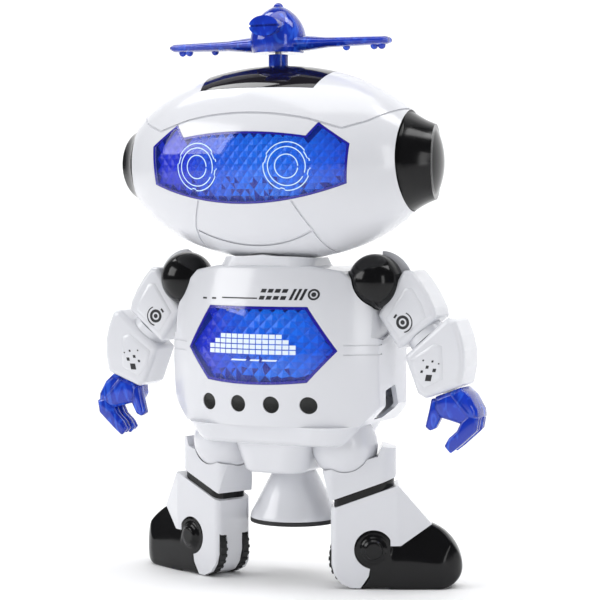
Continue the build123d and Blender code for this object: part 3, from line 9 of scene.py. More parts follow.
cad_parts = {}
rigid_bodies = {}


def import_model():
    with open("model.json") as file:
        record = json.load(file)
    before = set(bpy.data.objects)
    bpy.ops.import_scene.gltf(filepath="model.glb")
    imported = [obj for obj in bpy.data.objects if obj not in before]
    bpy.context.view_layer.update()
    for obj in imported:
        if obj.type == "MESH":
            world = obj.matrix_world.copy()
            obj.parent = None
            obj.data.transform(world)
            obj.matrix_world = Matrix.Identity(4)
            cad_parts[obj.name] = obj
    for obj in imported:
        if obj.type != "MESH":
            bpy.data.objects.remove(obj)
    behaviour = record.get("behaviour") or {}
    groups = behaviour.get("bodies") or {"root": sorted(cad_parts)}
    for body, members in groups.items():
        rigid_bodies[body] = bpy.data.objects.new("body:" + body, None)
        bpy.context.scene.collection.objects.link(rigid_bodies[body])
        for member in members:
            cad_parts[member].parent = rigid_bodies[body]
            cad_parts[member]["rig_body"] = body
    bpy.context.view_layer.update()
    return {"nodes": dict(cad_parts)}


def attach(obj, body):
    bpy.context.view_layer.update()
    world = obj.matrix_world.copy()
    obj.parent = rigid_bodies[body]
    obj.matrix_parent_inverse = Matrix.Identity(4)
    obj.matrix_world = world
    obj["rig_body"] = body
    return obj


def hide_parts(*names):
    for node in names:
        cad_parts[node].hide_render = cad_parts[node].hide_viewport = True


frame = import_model()
nodes = frame["nodes"]
MM = 0.001

# ---------------------------------------------------------------- forms, in millimetres
HEAD_Z = 185.3
HEAD_SEMI = (73.0, 38.0, 42.6)
VISOR_CORNERS = ((28.9, 10.5), (33.4, 16.2), (46.8, 7.1), (45.5, -9.5))
VISOR_BOTTOM = -18.0
VISOR_TOP = 12.7
EYE = (21.2, -2.2)
CHEST_CORNERS = ((23.4, 123.5), (35.8, 104.7), (23.8, 91.1))
CHEST_BOTTOM = 89.8
BARREL_AXIS = (104.0, 101.5)
VENT_X = (-23.9, -7.9, 7.9, 23.9)
VENT_Z = 81.3
VENT_SINK = 0.65
VENT_TURN = 0.8
ARM_FRONT_Y = -2.5
PAD_FRONT_Y = ARM_FRONT_Y - 0.6
PAD_SLOPE = 1.0
PAD_SINK = 0.6
PAD_RINGS = ((0.1, 0.0), (0.8, 0.7), (1.0, 1.5))
UPPER_ARM_PAD = ((52.6, 118.6), (61.0, 131.6), (64.4, 131.4), (69.0, 124.0), (70.6, 119.4), (59.0, 110.0))
FOREARM_PAD = ((63.6, 101.0), (74.4, 108.4), (78.0, 107.2), (78.4, 93.4), (70.0, 89.2), (65.4, 94.2))
BADGE = (60.3, 116.9)
SPECKS = (
    (0, 0, 2.7), (-3.1, 2.6, 1.1), (2.6, 3.3, 1.5), (-0.6, 4.6, 1.3),
    (1.8, 7.1, 0.9), (-2.4, 7.4, 0.7), (4.6, 6.2, 0.6),
)
SPECKS_AT = (72.2, 93.6)
SPECK_SLANT = 0.12
FOOT_ORIGIN = (34.0, 8.0)
FOOT_YAW = 23.0
WHEEL_CENTRE = (1.0, 13.0)
WHEEL_RADIUS = 13.0
WHEEL_MID = 6.4
WHEEL_WIDTH = 3.6
TYRE_EDGE = 1.0
TREAD_BARS = 26
TREAD_BAR = (0.8, 1.3, WHEEL_WIDTH)
TREAD_DEPTH = 0.5
TREAD_SINK = 0.45
TOE_GRAIN = 0.45
TOE_RUBS = 16
TOE_DOME_FROM = 20.0
TOE_DOME_LENGTH = 22.0
TOE_DOME_Z = 9.0
TOE_DOME_HEIGHT = 19.0
TOE_SIDE_PULL = 0.5
TOE_TIP_PULL = 0.022

# ---------------------------------------------------------------- cut crystal behind the lenses, its facets given painted light and shade
FACET_DEPTH = 3.4
FACET_BACK = 0.5
# painted shade on the four faces of each diamond, as if lit from the upper left: upper right, upper left,
# lower left, lower right
FACET_FACING_SHADE = (0.16, 0.0, 0.30, 0.44)
TONE_SPREAD = 0.1
# painted shade that grows towards the bottom rows, and the extra darkness it makes likelier there
BOTTOM_SHADE_FALL = 2.6
PAINTED_DARK_FACET = 0.75
# painted highlight: brightest at this share of the sheet's half-width, fading to the sides by the strength
# and curve below
GLEAM_AT = 0.25
GLEAM_FADE_STRENGTH = 1.1
GLEAM_FADE_CURVE = 1.5

# ---------------------------------------------------------------- prints, in millimetres
PRINT_LIFT = 0.06
PRINT_DEPTH = 0.12
EYE_RING_LIFT = 0.05
EYE_RING_WIDTH = 0.42
EYE_RING_RADIUS = 10.35
EYE_RING_NOTCHED = 9.7
EYE_NOTCHES = ((20, 38), (150, 172), (250, 262), (338, 352))
CHEST_DASHES = ((-27.0, 126.4, 2.4, 0.75), (-21.4, 126.5, 2.4, 0.75), (-7.8, 126.9, 18.0, 0.55))
CHEST_BLOCKS_X = (3.4, 6.6, 9.8, 13.0)
CHEST_BLOCK_ROWS = ((0.6, 130.2), (0.0, 127.2))
CHEST_BLOCK = (2.3, 1.6, 0.3)
CHEST_SLASHES_X = (17.0, 19.2, 21.4)
CHEST_SLASH = (1.2, 4.8, 1.0)
CHEST_DOT = (25.6, 128.7)
METER_HEIGHTS = (2, 3, 4, 4, 4, 4, 4, 4, 4, 4, 4, 4, 3, 2)
METER_CORNER = (-20.9, 103.9)
METER_STEP = (3.0, 2.25)
METER_BLOCK = (2.55, 1.8)
METER_FOOT = ((-6.6, 7.4), (1.2, 4.2), (8.0, 6.6))
METER_FOOT_Z = 100.4


def head_y(x, z, out=0.0):
    """The y of the head's front at x, z, moved outwards."""
    a, b, c = (s + out for s in HEAD_SEMI)
    left = 1 - (x / a) ** 2 - ((z - HEAD_Z) / c) ** 2
    return -b * sqrt(max(left, 0.0))


def arc_through(p, q, r):
    """Centre and radius of the circle through three flat points."""
    ax, ay, bx, by, cx, cy = *p, *q, *r
    d = 2 * (ax * (by - cy) + bx * (cy - ay) + cx * (ay - by))
    sa, sb, sc = ax * ax + ay * ay, bx * bx + by * by, cx * cx + cy * cy
    ux = (sa * (by - cy) + sb * (cy - ay) + sc * (ay - by)) / d
    uy = (sa * (cx - bx) + sb * (ax - cx) + sc * (bx - ax)) / d
    return (ux, uy), hypot(ax - ux, ay - uy)


PLAN_CENTRE, PLAN_RADIUS = arc_through((-50, -4.9), (0, -26), (50, -4.9))


def torso_y(x, z, out=0.0):
    """The y of the torso's barrel front at x, z, moved outwards."""
    middle, height = BARREL_AXIS
    reach = middle - PLAN_CENTRE[1] + sqrt((PLAN_RADIUS + out) ** 2 - x * x)
    return middle - sqrt(reach**2 - (z - height) ** 2)


def arc_points(start, middle, end, steps):
    """Points along the arc from start through middle to end."""
    (cx, cy), r = arc_through(start, middle, end)
    a0, a1, a2 = (atan2(p[1] - cy, p[0] - cx) for p in (start, middle, end))
    turn = (a2 - a0) % (2 * pi)
    if (a1 - a0) % (2 * pi) > turn:
        turn -= 2 * pi
    angles = [a0 + turn * i / steps for i in range(steps + 1)]
    return [(cx + r * cos(a), cy + r * sin(a)) for a in angles]


def visor_outline():
    """The visor's edge as x, z points, its long sides as arcs."""
    right = [(x, HEAD_Z + z) for x, z in VISOR_CORNERS]
    left = [(-x, z) for x, z in right]
    bottom = arc_points(right[-1], (0, HEAD_Z + VISOR_BOTTOM), left[-1], 30)
    top = arc_points(left[0], (0, HEAD_Z + VISOR_TOP), right[0], 24)
    return right + bottom[1:] + left[-2::-1] + top[1:-1]


def chest_outline():
    """The chest lens's edge as x, z points, its bottom as an arc."""
    left = [(-x, z) for x, z in CHEST_CORNERS]
    bottom = arc_points(CHEST_CORNERS[-1], (0, CHEST_BOTTOM), left[-1], 16)
    return list(CHEST_CORNERS) + bottom[1:] + left[-2::-1]


def outline_side(points):
    """+1 where the outline runs anticlockwise, otherwise -1."""
    area = sum(p[0] * q[1] - q[0] * p[1] for p, q in zip(points, points[1:] + points[:1]))
    return 1 if area > 0 else -1


def drawn_in(points, amount):
    """The closed outline moved inwards by amount, corners mitred."""
    side = outline_side(points)
    found = []
    for i, p in enumerate(points):
        a, b = points[i - 1], points[(i + 1) % len(points)]
        n1 = Vector((-(p[1] - a[1]), p[0] - a[0])).normalized()
        n2 = Vector((-(b[1] - p[1]), b[0] - p[0])).normalized()
        n = (n1 + n2).normalized()
        reach = amount * side / max(0.35, n.dot(n1))
        found.append((p[0] + n.x * reach, p[1] + n.y * reach))
    return found


def inside(points, x, z):
    """Whether x, z lies within the closed outline."""
    hit = False
    for p, q in zip(points, points[1:] + points[:1]):
        if (p[1] > z) != (q[1] > z) and x < (q[0] - p[0]) * (z - p[1]) / (q[1] - p[1]) + p[0]:
            hit = not hit
    return hit


# ---------------------------------------------------------------- shader groups and finishes
def new_group(name, inputs, outputs):
    """An empty shader group with its named sockets."""
    group = bpy.data.node_groups.new(name, "ShaderNodeTree")
    for label, kind, value in inputs:
        socket = group.interface.new_socket(label, in_out="INPUT", socket_type=kind)
        socket.default_value = value
    for label, kind in outputs:
        group.interface.new_socket(label, in_out="OUTPUT", socket_type=kind)
    return group


def moulded_skin_group():
    """Mould texture, handling marks and a slow tone change of injection-moulded plastic."""
    group = new_group(
        "moulded_skin",
        [
            ("Gloss", "NodeSocketFloat", 0.15),
            ("Marks", "NodeSocketFloat", 0.08),
            ("Grain Scale", "NodeSocketFloat", 900.0),
            ("Base Tone", "NodeSocketColor", (0.8, 0.8, 0.8, 1)),
            ("Far Tone", "NodeSocketColor", (0.7, 0.7, 0.7, 1)),
        ],
        [
            ("Tone", "NodeSocketColor"),
            ("Roughness", "NodeSocketFloat"),
            ("Height", "NodeSocketFloat"),
        ],
    )
    n, link = group.nodes, group.links.new
    given, out = n.new("NodeGroupInput"), n.new("NodeGroupOutput")
    place = n.new("ShaderNodeTexCoord")
    slow, marks, grain = (n.new("ShaderNodeTexNoise") for _ in range(3))
    slow.inputs["Scale"].default_value = 22.0
    slow.inputs["Detail"].default_value = 2.0
    marks.inputs["Scale"].default_value = 140.0
    marks.inputs["Detail"].default_value = 5.0
    marks.inputs["Distortion"].default_value = 1.2
    grain.inputs["Detail"].default_value = 2.0
    for texture in (slow, marks, grain):
        link(place.outputs["Object"], texture.inputs["Vector"])
    link(given.outputs["Grain Scale"], grain.inputs["Scale"])
    tone = n.new("ShaderNodeMix")
    tone.data_type = "RGBA"
    link(slow.outputs["Fac"], tone.inputs["Factor"])
    link(given.outputs["Base Tone"], tone.inputs["A"])
    link(given.outputs["Far Tone"], tone.inputs["B"])
    link(tone.outputs["Result"], out.inputs["Tone"])
    streak = n.new("ShaderNodeMapRange")
    streak.inputs["From Min"].default_value = 0.45
    streak.inputs["From Max"].default_value = 0.8
    link(marks.outputs["Fac"], streak.inputs["Value"])
    rough = n.new("ShaderNodeMath")
    rough.operation = "MULTIPLY_ADD"
    link(streak.outputs["Result"], rough.inputs[0])
    link(given.outputs["Marks"], rough.inputs[1])
    link(given.outputs["Gloss"], rough.inputs[2])
    link(rough.outputs[0], out.inputs["Roughness"])
    link(grain.outputs["Fac"], out.inputs["Height"])
    return group


MOULDED_SKIN = moulded_skin_group()


def shader(name, fixed):
    """A new material and its main shader, with the named sockets set."""
    material = bpy.data.materials.new(name)
    material.use_nodes = True
    n = material.node_tree.nodes
    n.clear()
    out, body = n.new("ShaderNodeOutputMaterial"), n.new("ShaderNodeBsdfPrincipled")
    material.node_tree.links.new(body.outputs["BSDF"], out.inputs["Surface"])
    for socket, value in fixed.items():
        body.inputs[socket.replace("_", " ")].default_value = value
    return material, body


def skin_in(material, gloss):
    """The moulded skin placed in a material, with its gloss."""
    skin = material.node_tree.nodes.new("ShaderNodeGroup")
    skin.node_tree = MOULDED_SKIN
    skin.inputs["Gloss"].default_value = gloss
    return skin


def plastic(name, near, far, gloss, marks=0.06, grain=900.0, relief=0.0, bump_size=0.00002, **fixed):
    """A moulded plastic whose tone and gloss vary a little over the surface."""
    material, body = shader(name, fixed)
    n, link = material.node_tree.nodes, material.node_tree.links.new
    skin = skin_in(material, gloss)
    skin.inputs["Marks"].default_value = marks
    skin.inputs["Grain Scale"].default_value = grain
    skin.inputs["Base Tone"].default_value = (*near, 1)
    skin.inputs["Far Tone"].default_value = (*far, 1)
    link(skin.outputs["Tone"], body.inputs["Base Color"])
    link(skin.outputs["Roughness"], body.inputs["Roughness"])
    if relief:
        bump = n.new("ShaderNodeBump")
        bump.inputs["Strength"].default_value = relief
        bump.inputs["Distance"].default_value = bump_size
        link(skin.outputs["Height"], bump.inputs["Height"])
        link(bump.outputs["Normal"], body.inputs["Normal"])
    return material


def cut_crystal(name, middle, rim, shade_colour, roughness, glow):
    """Clear crystal toned with painted light from the mesh: one face attribute is a facet's way from a
    painted highlight, the other its painted shade; the facets also glow with painted light.
    """
    material, body = shader(name, {"Emission Strength": glow})
    n, link = material.node_tree.nodes, material.node_tree.links.new
    edge, facet_shade = n.new("ShaderNodeAttribute"), n.new("ShaderNodeAttribute")
    edge.attribute_name, facet_shade.attribute_name = "edge", "facet_shade"
    across, tone = n.new("ShaderNodeMix"), n.new("ShaderNodeMix")
    across.data_type = tone.data_type = "RGBA"
    # middle is the brighter blue of the painted highlight, rim the blue it fades to away from it
    across.inputs["A"].default_value = (*middle, 1)
    across.inputs["B"].default_value = (*rim, 1)
    # the shade colour is painted shade, mixed in by each facet's painted shade amount
    tone.inputs["B"].default_value = (*shade_colour, 1)
    link(edge.outputs["Fac"], across.inputs["Factor"])
    link(across.outputs["Result"], tone.inputs["A"])
    link(facet_shade.outputs["Fac"], tone.inputs["Factor"])
    link(tone.outputs["Result"], body.inputs["Base Color"])
    # painted glow: the facets give off light in their own tone, though they are no lamp
    link(tone.outputs["Result"], body.inputs["Emission Color"])
    link(skin_in(material, roughness).outputs["Roughness"], body.inputs["Roughness"])
    return material


def tinted_clear(name, thin, thick, streak, gloss, **fixed):
    """Tinted clear plastic: light seen square on, deep where it turns away, with painted highlight streaks
    laid by noise.
    """
    material, body = shader(name, fixed)
    n, link = material.node_tree.nodes, material.node_tree.links.new
    place, warp = n.new("ShaderNodeTexCoord"), n.new("ShaderNodeMapping")
    warp.inputs["Scale"].default_value = (1.0, 1.0, 0.45)
    cells, glint_band = n.new("ShaderNodeTexNoise"), n.new("ShaderNodeMapRange")
    cells.inputs["Scale"].default_value = 170.0
    cells.inputs["Detail"].default_value = 1.0
    cells.inputs["Distortion"].default_value = 2.2
    glint_band.inputs["From Min"].default_value = 0.5
    glint_band.inputs["From Max"].default_value = 0.68
    link(place.outputs["Object"], warp.inputs["Vector"])
    link(warp.outputs["Vector"], cells.inputs["Vector"])
    link(cells.outputs["Fac"], glint_band.inputs["Value"])
    turned, depth, glint = n.new("ShaderNodeLayerWeight"), n.new("ShaderNodeMix"), n.new("ShaderNodeMix")
    turned.inputs["Blend"].default_value = 0.35
    depth.data_type = glint.data_type = "RGBA"
    depth.inputs["A"].default_value = (*thin, 1)
    depth.inputs["B"].default_value = (*thick, 1)
    # streak is the colour of painted highlight streaks, placed by noise
    glint.inputs["B"].default_value = (*streak, 1)
    link(turned.outputs["Facing"], depth.inputs["Factor"])
    link(glint_band.outputs["Result"], glint.inputs["Factor"])
    link(depth.outputs["Result"], glint.inputs["A"])
    link(glint.outputs["Result"], body.inputs["Base Color"])
    link(skin_in(material, gloss).outputs["Roughness"], body.inputs["Roughness"])
    return material


LENS_LOOK = dict(Coat_Weight=1.0, Coat_Roughness=0.04, Coat_IOR=1.9, Specular_IOR_Level=0.6)
BLUE_LOOK = dict(IOR=1.45, Transmission_Weight=0.35, Coat_Weight=0.5, Coat_Roughness=0.04)
gloss_white = plastic(
    "gloss_white_abs", (0.74, 0.745, 0.775), (0.69, 0.70, 0.735), 0.18, 0.05,
    Coat_Weight=0.2, Coat_Roughness=0.06,
)
gloss_black = plastic(
    "gloss_black_abs", (0.003, 0.003, 0.0035), (0.005, 0.005, 0.0055), 0.14, 0.06, Specular_IOR_Level=0.3
)
smoked_black = plastic(
    "smoked_window", (0.004, 0.003, 0.006), (0.008, 0.006, 0.01), 0.05, 0.03, Specular_IOR_Level=0.5
)
inner_plastic = plastic("inner_grey", (0.30, 0.31, 0.33), (0.24, 0.25, 0.27), 0.45, 0.12, relief=0.3)
soft_rubber = plastic(
    "tyre_rubber", (0.012, 0.012, 0.013), (0.022, 0.022, 0.023), 0.62, 0.18, 1500.0, relief=0.5
)
mesh_black = plastic(
    "vent_black", (0.008, 0.008, 0.008), (0.018, 0.02, 0.018), 0.5, 0.15, 1300.0, relief=0.6
)
switch_black = plastic("switch_black", (0.015, 0.015, 0.016), (0.03, 0.03, 0.03), 0.4, 0.1, relief=0.3)
black_ink = plastic("black_ink", (0.012, 0.012, 0.014), (0.03, 0.03, 0.034), 0.4, 0.2, 2500.0, relief=0.2)
pale_ink = plastic("pale_ink", (0.62, 0.86, 0.98), (0.74, 0.93, 1.0), 0.35, 0.15, 2500.0, relief=0.2)
white_ink = plastic("white_ink", (0.78, 0.90, 0.97), (0.88, 0.95, 1.0), 0.35, 0.15, 2500.0, relief=0.2)
edge_blue = plastic("lens_edge_blue", (0.012, 0.008, 0.26), (0.02, 0.012, 0.36), 0.12, 0.05, Coat_Weight=0.5)
steel = plastic(
    "zinc_steel", (0.55, 0.55, 0.56), (0.44, 0.44, 0.45), 0.28, 0.2, 1800.0, relief=0.2, Metallic=1.0
)
cell_jacket = plastic("cell_jacket", (0.05, 0.16, 0.09), (0.08, 0.22, 0.12), 0.3, 0.1)
contact_metal = plastic("contact_nickel", (0.6, 0.58, 0.52), (0.48, 0.46, 0.42), 0.3, 0.2, Metallic=1.0)
circuit_board = plastic("board_green", (0.01, 0.12, 0.04), (0.02, 0.18, 0.06), 0.35, 0.1, 1600.0, relief=0.3)
# the third colour paints highlight streaks over the blue
clear_blue = tinted_clear(
    "clear_blue", (0.008, 0.05, 0.62), (0.003, 0.004, 0.20), (0.03, 0.14, 0.90), 0.07, **BLUE_LOOK
)
lens_blue = plastic(
    "lens_blue", (0.008, 0.03, 0.62), (0.012, 0.05, 0.72), 0.04, 0.03, Alpha=0.20, **LENS_LOOK
)
# middle and rim blues carry a painted highlight, the darkest blue is painted shade on facets, and glow is
# painted light
crystal_blue = cut_crystal(
    "crystal_blue", (0.01, 0.27, 0.98), (0.02, 0.035, 0.66), (0.001, 0.006, 0.12), roughness=0.2, glow=0.42
)


# ---------------------------------------------------------------- meshes
def placed(name, data):
    """A new object in the scene for that mesh, lamp or camera."""
    thing = bpy.data.objects.new(name, data)
    bpy.context.scene.collection.objects.link(thing)
    return thing


def point(bm, x, y, z):
    """A mesh corner, placed in millimetres."""
    return bm.verts.new((x * MM, y * MM, z * MM))


def kept_mesh(name, bm):
    """The mesh under work kept under its name."""
    mesh = bpy.data.meshes.new(name)
    bm.to_mesh(mesh)
    bm.free()
    return mesh


def finished(name, mesh, material, body, replaced=()):
    """The piece itself: its finish, the body it rides on and the nodes it stands for."""
    piece = placed(name, mesh)
    mesh.materials.clear()
    mesh.materials.append(material)
    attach(piece, body)
    if replaced:
        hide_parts(*replaced)
    return piece


def plain_mesh(piece):
    """The piece's mesh with its modifiers worked in, as a mesh of its own."""
    bpy.context.view_layer.update()
    shown = piece.evaluated_get(bpy.context.evaluated_depsgraph_get())
    mesh = bpy.data.meshes.new_from_object(shown)
    bpy.data.objects.remove(piece)
    return mesh


def smooth_by_angle(mesh, degrees):
    """Shade the mesh smooth, with a hard line wherever it turns by more than that angle."""
    bm = bmesh.new()
    bm.from_mesh(mesh)
    for face in bm.faces:
        face.smooth = True
    for edge in bm.edges:
        edge.smooth = len(edge.link_faces) == 2 and edge.calc_face_angle(0.0) < radians(degrees)
    bm.to_mesh(mesh)
    bm.free()


def welded_copy(node, flatten=0.15):
    """A copy of a CAD node's mesh, its triangles joined and its flats made whole faces."""
    mesh = nodes[node].data.copy()
    mesh.name = node + "_skin"
    bm = bmesh.new()
    bm.from_mesh(mesh)
    bmesh.ops.remove_doubles(bm, verts=bm.verts, dist=0.000002)
    if flatten:
        bmesh.ops.dissolve_limit(bm, angle_limit=radians(flatten), verts=bm.verts, edges=bm.edges)
    bm.to_mesh(mesh)
    bm.free()
    return mesh


def rounded(mesh, width, corner=30):
    """The mesh with every edge sharper than that corner rounded to that width."""
    piece = placed("rounding", mesh)
    bevel = piece.modifiers.new("round", "BEVEL")
    bevel.width = width * MM
    bevel.segments = 2
    bevel.limit_method = "ANGLE"
    bevel.angle_limit = radians(corner)
    bevel.use_clamp_overlap = True
    return plain_mesh(piece)


def softened(mesh, grain, passes):
    """The mesh rebuilt in small even faces and rubbed smooth, so that all its edges are softly rounded."""
    piece = placed("softening", mesh)
    rebuilt = piece.modifiers.new("rebuild", "REMESH")
    rebuilt.mode = "VOXEL"
    rebuilt.voxel_size = grain * MM
    rubbed = piece.modifiers.new("rub", "SMOOTH")
    rubbed.factor = 0.5
    rubbed.iterations = passes
    mesh = plain_mesh(piece)
    smooth_by_angle(mesh, 180)
    return mesh


def evenly_lit(mesh):
    """The mesh with normals led by its large faces, so that flats stay flat beside small rounded edges."""
    piece = placed("lighting", mesh)
    weighted = piece.modifiers.new("even", "WEIGHTED_NORMAL")
    weighted.keep_sharp = True
    return plain_mesh(piece)


def dressed(node, material, round_width=0.0, flatten=0.15):
    """The CAD node's form with moulded corners and its finish, standing for the node."""
    mesh = welded_copy(node, flatten)
    if round_width:
        mesh = rounded(mesh, round_width)
    smooth_by_angle(mesh, 32)
    mesh = evenly_lit(mesh)
    return finished(node + "_skin", mesh, material, nodes[node]["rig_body"], (node,))


def ellipsoid_normals(piece):
    """Faces on the head's ellipsoid take its true normals, so that reflections run evenly."""
    mesh = piece.data
    a, b, c = (s * MM for s in HEAD_SEMI)
    normals = [Vector((0, 0, 0))] * len(mesh.loops)
    for face in mesh.polygons:
        corners = [mesh.vertices[i].co for i in face.vertices]
        slopes = [Vector((p.x / a**2, p.y / b**2, (p.z - HEAD_Z * MM) / c**2)) for p in corners]
        height = [(p.x / a) ** 2 + (p.y / b) ** 2 + ((p.z - HEAD_Z * MM) / c) ** 2 for p in corners]
        if max(abs(h - 1) for h in height) < 0.004 and face.normal.dot(slopes[0].normalized()) > 0.9:
            for loop, slope in zip(face.loop_indices, slopes):
                normals[loop] = slope.normalized()
    mesh.normals_split_custom_set(normals)


def slab(name, faces, surface, lift, depth, material, body):
    """A thin closed layer laid on a front surface: faces are lists of x, z points."""
    bm = bmesh.new()
    front, back, runs = {}, {}, set()
    for points in faces:
        keys = []
        for x, z in points if outline_side(points) > 0 else points[::-1]:
            key = (round(x, 3), round(z, 3))
            if key not in front:
                y = surface(x, z, lift)
                front[key] = point(bm, x, y, z)
                back[key] = point(bm, x, y + depth, z)
            keys.append(key)
        bm.faces.new([front[k] for k in keys])
        bm.faces.new([back[k] for k in reversed(keys)])
        runs |= set(zip(keys, keys[1:] + keys[:1]))
    for p, q in sorted(runs):
        if (q, p) not in runs:
            bm.faces.new((front[q], front[p], back[p], back[q]))
    mesh = kept_mesh(name, bm)
    smooth_by_angle(mesh, 30)
    return finished(name, mesh, material, body)


def band_faces(outer, inner, spacing=1.2):
    """Quads between two outlines with matching points."""
    found = []
    for i in range(len(outer)):
        j = (i + 1) % len(outer)
        steps = max(1, round(hypot(outer[j][0] - outer[i][0], outer[j][1] - outer[i][1]) / spacing))
        for k in range(steps):
            s, t = k / steps, (k + 1) / steps
            a = [outer[i][c] + (outer[j][c] - outer[i][c]) * s for c in (0, 1)]
            b = [outer[i][c] + (outer[j][c] - outer[i][c]) * t for c in (0, 1)]
            d = [inner[i][c] + (inner[j][c] - inner[i][c]) * s for c in (0, 1)]
            e = [inner[i][c] + (inner[j][c] - inner[i][c]) * t for c in (0, 1)]
            found.append([tuple(a), tuple(b), tuple(e), tuple(d)])
    return found


def ring_faces(x, z, radius_at, width, start, turn, steps):
    """Quads of a drawn ring, its radius given at each angle."""
    found = []
    for i in range(steps):
        a, b = radians(start + turn * i / steps), radians(start + turn * (i + 1) / steps)
        ra, rb = radius_at(a), radius_at(b)
        corners = ((a, ra), (b, rb), (b, rb - width), (a, ra - width))
        found.append([(x + r * cos(t), z + r * sin(t)) for t, r in corners])
    return found


def ring(x, z, radius, width, start=0, turn=360, steps=72):
    """Quads of a plain drawn ring or arc."""
    return ring_faces(x, z, lambda angle: radius, width, start, turn, steps)


def box_face(x, z, width, height, slant=0.0):
    """One printed block, its sides leaning by slant."""
    w, h = width / 2, height / 2
    return [(x - w - slant, z - h), (x + w - slant, z - h), (x + w + slant, z + h), (x - w + slant, z + h)]


def facet_sheet(name, outline, surface, pitch, relief, unrest, seed, material, body, replaced):
    """Rows of raised diamonds behind a lens, each peak a little off centre, each cut face given painted
    shade by the way it faces, more often dark in the lower rows, and a painted highlight that fades away
    from one spot.
    """
    chance = random.Random(seed)
    wide, tall = pitch
    xs, zs = [p[0] for p in outline], [p[1] for p in outline]
    low, high = min(zs), max(zs)
    reach = max(abs(x) for x in xs)
    rows = int((high - low) / (tall / 2)) + 2
    columns = int((max(xs) - min(xs)) / wide) + 3
    bm = bmesh.new()
    # face attributes of painted light: each facet's painted shade, and its fade from a painted highlight
    facet_shade, edge = bm.faces.layers.float.new("facet_shade"), bm.faces.layers.float.new("edge")
    for row in range(rows):
        z = low + row * tall / 2
        for column in range(columns):
            x = min(xs) + (column + (row % 2) / 2) * wide
            if not inside(outline, x, z):
                continue
            corners = ((x + wide / 2, z), (x, z + tall / 2), (x - wide / 2, z), (x, z - tall / 2))
            rim = [point(bm, px, surface(px, pz) + FACET_DEPTH, pz) for px, pz in corners]
            px = x + chance.uniform(-unrest, unrest) * wide
            pz = z + chance.uniform(-unrest, unrest) * tall
            lift = relief * chance.uniform(0.9, 1.1)
            peak = point(bm, px, surface(px, pz) + FACET_DEPTH - lift, pz)
            foot = point(bm, x, surface(x, z) + FACET_DEPTH + FACET_BACK, z)
            # painted shade: facets in the lower rows are more often darkened
            bottom_shade = max(0.0, 1.0 - BOTTOM_SHADE_FALL * (z - low) / (high - low))
            for i, tone in enumerate(FACET_FACING_SHADE):
                face = bm.faces.new((peak, rim[i], rim[(i + 1) % 4]))
                shade_amount = tone + chance.uniform(0.0, TONE_SPREAD)
                if chance.random() < bottom_shade * tone * 2:
                    shade_amount += PAINTED_DARK_FACET
                face[facet_shade] = min(1.0, shade_amount)
                # painted highlight: the facet fades from the bright middle colour by its way across from the
                # bright spot
                face[edge] = min(1.0, GLEAM_FADE_STRENGTH * (abs(x - GLEAM_AT * reach) / reach) ** GLEAM_FADE_CURVE)
                bm.faces.new((foot, rim[(i + 1) % 4], rim[i]))
    bmesh.ops.recalc_face_normals(bm, faces=bm.faces)
    return finished(name, kept_mesh(name, bm), material, body, replaced)


def closed_rows(bm, rows):
    """Faces over matching rows of points, closed at both ends."""
    made = [bm.faces.new(rows[0]), bm.faces.new(rows[-1])]
    count = len(rows[0])
    for low, high in zip(rows, rows[1:]):
        for i in range(count):
            j = (i + 1) % count
            made.append(bm.faces.new((low[i], low[j], high[j], high[i])))
    bmesh.ops.recalc_face_normals(bm, faces=made)


def raised_pad(name, outline, side, front, height, slope, material, body):
    """A low panel with sloping sides on a flat front, drawn for the left side and mirrored for the right."""
    points = [(side * x, z) for x, z in outline]
    bm = bmesh.new()
    rows = [[point(bm, x, front + PAD_SINK, z) for x, z in points]]
    for rise, inset in PAD_RINGS:
        rows.append([point(bm, x, front - rise * height, z) for x, z in drawn_in(points, inset * slope)])
    closed_rows(bm, rows)
    mesh = kept_mesh(name, bm)
    smooth_by_angle(mesh, 50)
    return finished(name, mesh, material, body)


def repeated(name, tree, inputs, material):
    """The plain mesh that a Geometry Nodes tree makes from its named inputs."""
    carrier = placed(name, bpy.data.meshes.new(name))
    modifier = carrier.modifiers.new("repeat", "NODES")
    modifier.node_group = tree
    sockets = {item.name: item.identifier for item in tree.interface.items_tree if item.in_out == "INPUT"}
    for label, value in {**inputs, "Material": material}.items():
        modifier[sockets[label]] = value
    return plain_mesh(carrier)


def repeat_tree(name, inputs):
    """An empty Geometry Nodes tree with its named inputs, a material input and one geometry output."""
    tree = bpy.data.node_groups.new(name, "GeometryNodeTree")
    tree.is_modifier = True
    tree.interface.new_socket("Geometry", in_out="OUTPUT", socket_type="NodeSocketGeometry")
    for label, kind, value in inputs:
        tree.interface.new_socket(label, in_out="INPUT", socket_type=kind).default_value = value
    tree.interface.new_socket("Material", in_out="INPUT", socket_type="NodeSocketMaterial")
    return tree, tree.nodes.new("NodeGroupInput"), tree.nodes.new("NodeGroupOutput")


def ended(tree, given, result, instances):
    """Instances made real, given their material and sent out."""
    n, link = tree.nodes, tree.links.new
    real, dress = n.new("GeometryNodeRealizeInstances"), n.new("GeometryNodeSetMaterial")
    link(instances, real.inputs["Geometry"])
    link(real.outputs["Geometry"], dress.inputs["Geometry"])
    link(given.outputs["Material"], dress.inputs["Material"])
    link(dress.outputs["Geometry"], result.inputs["Geometry"])


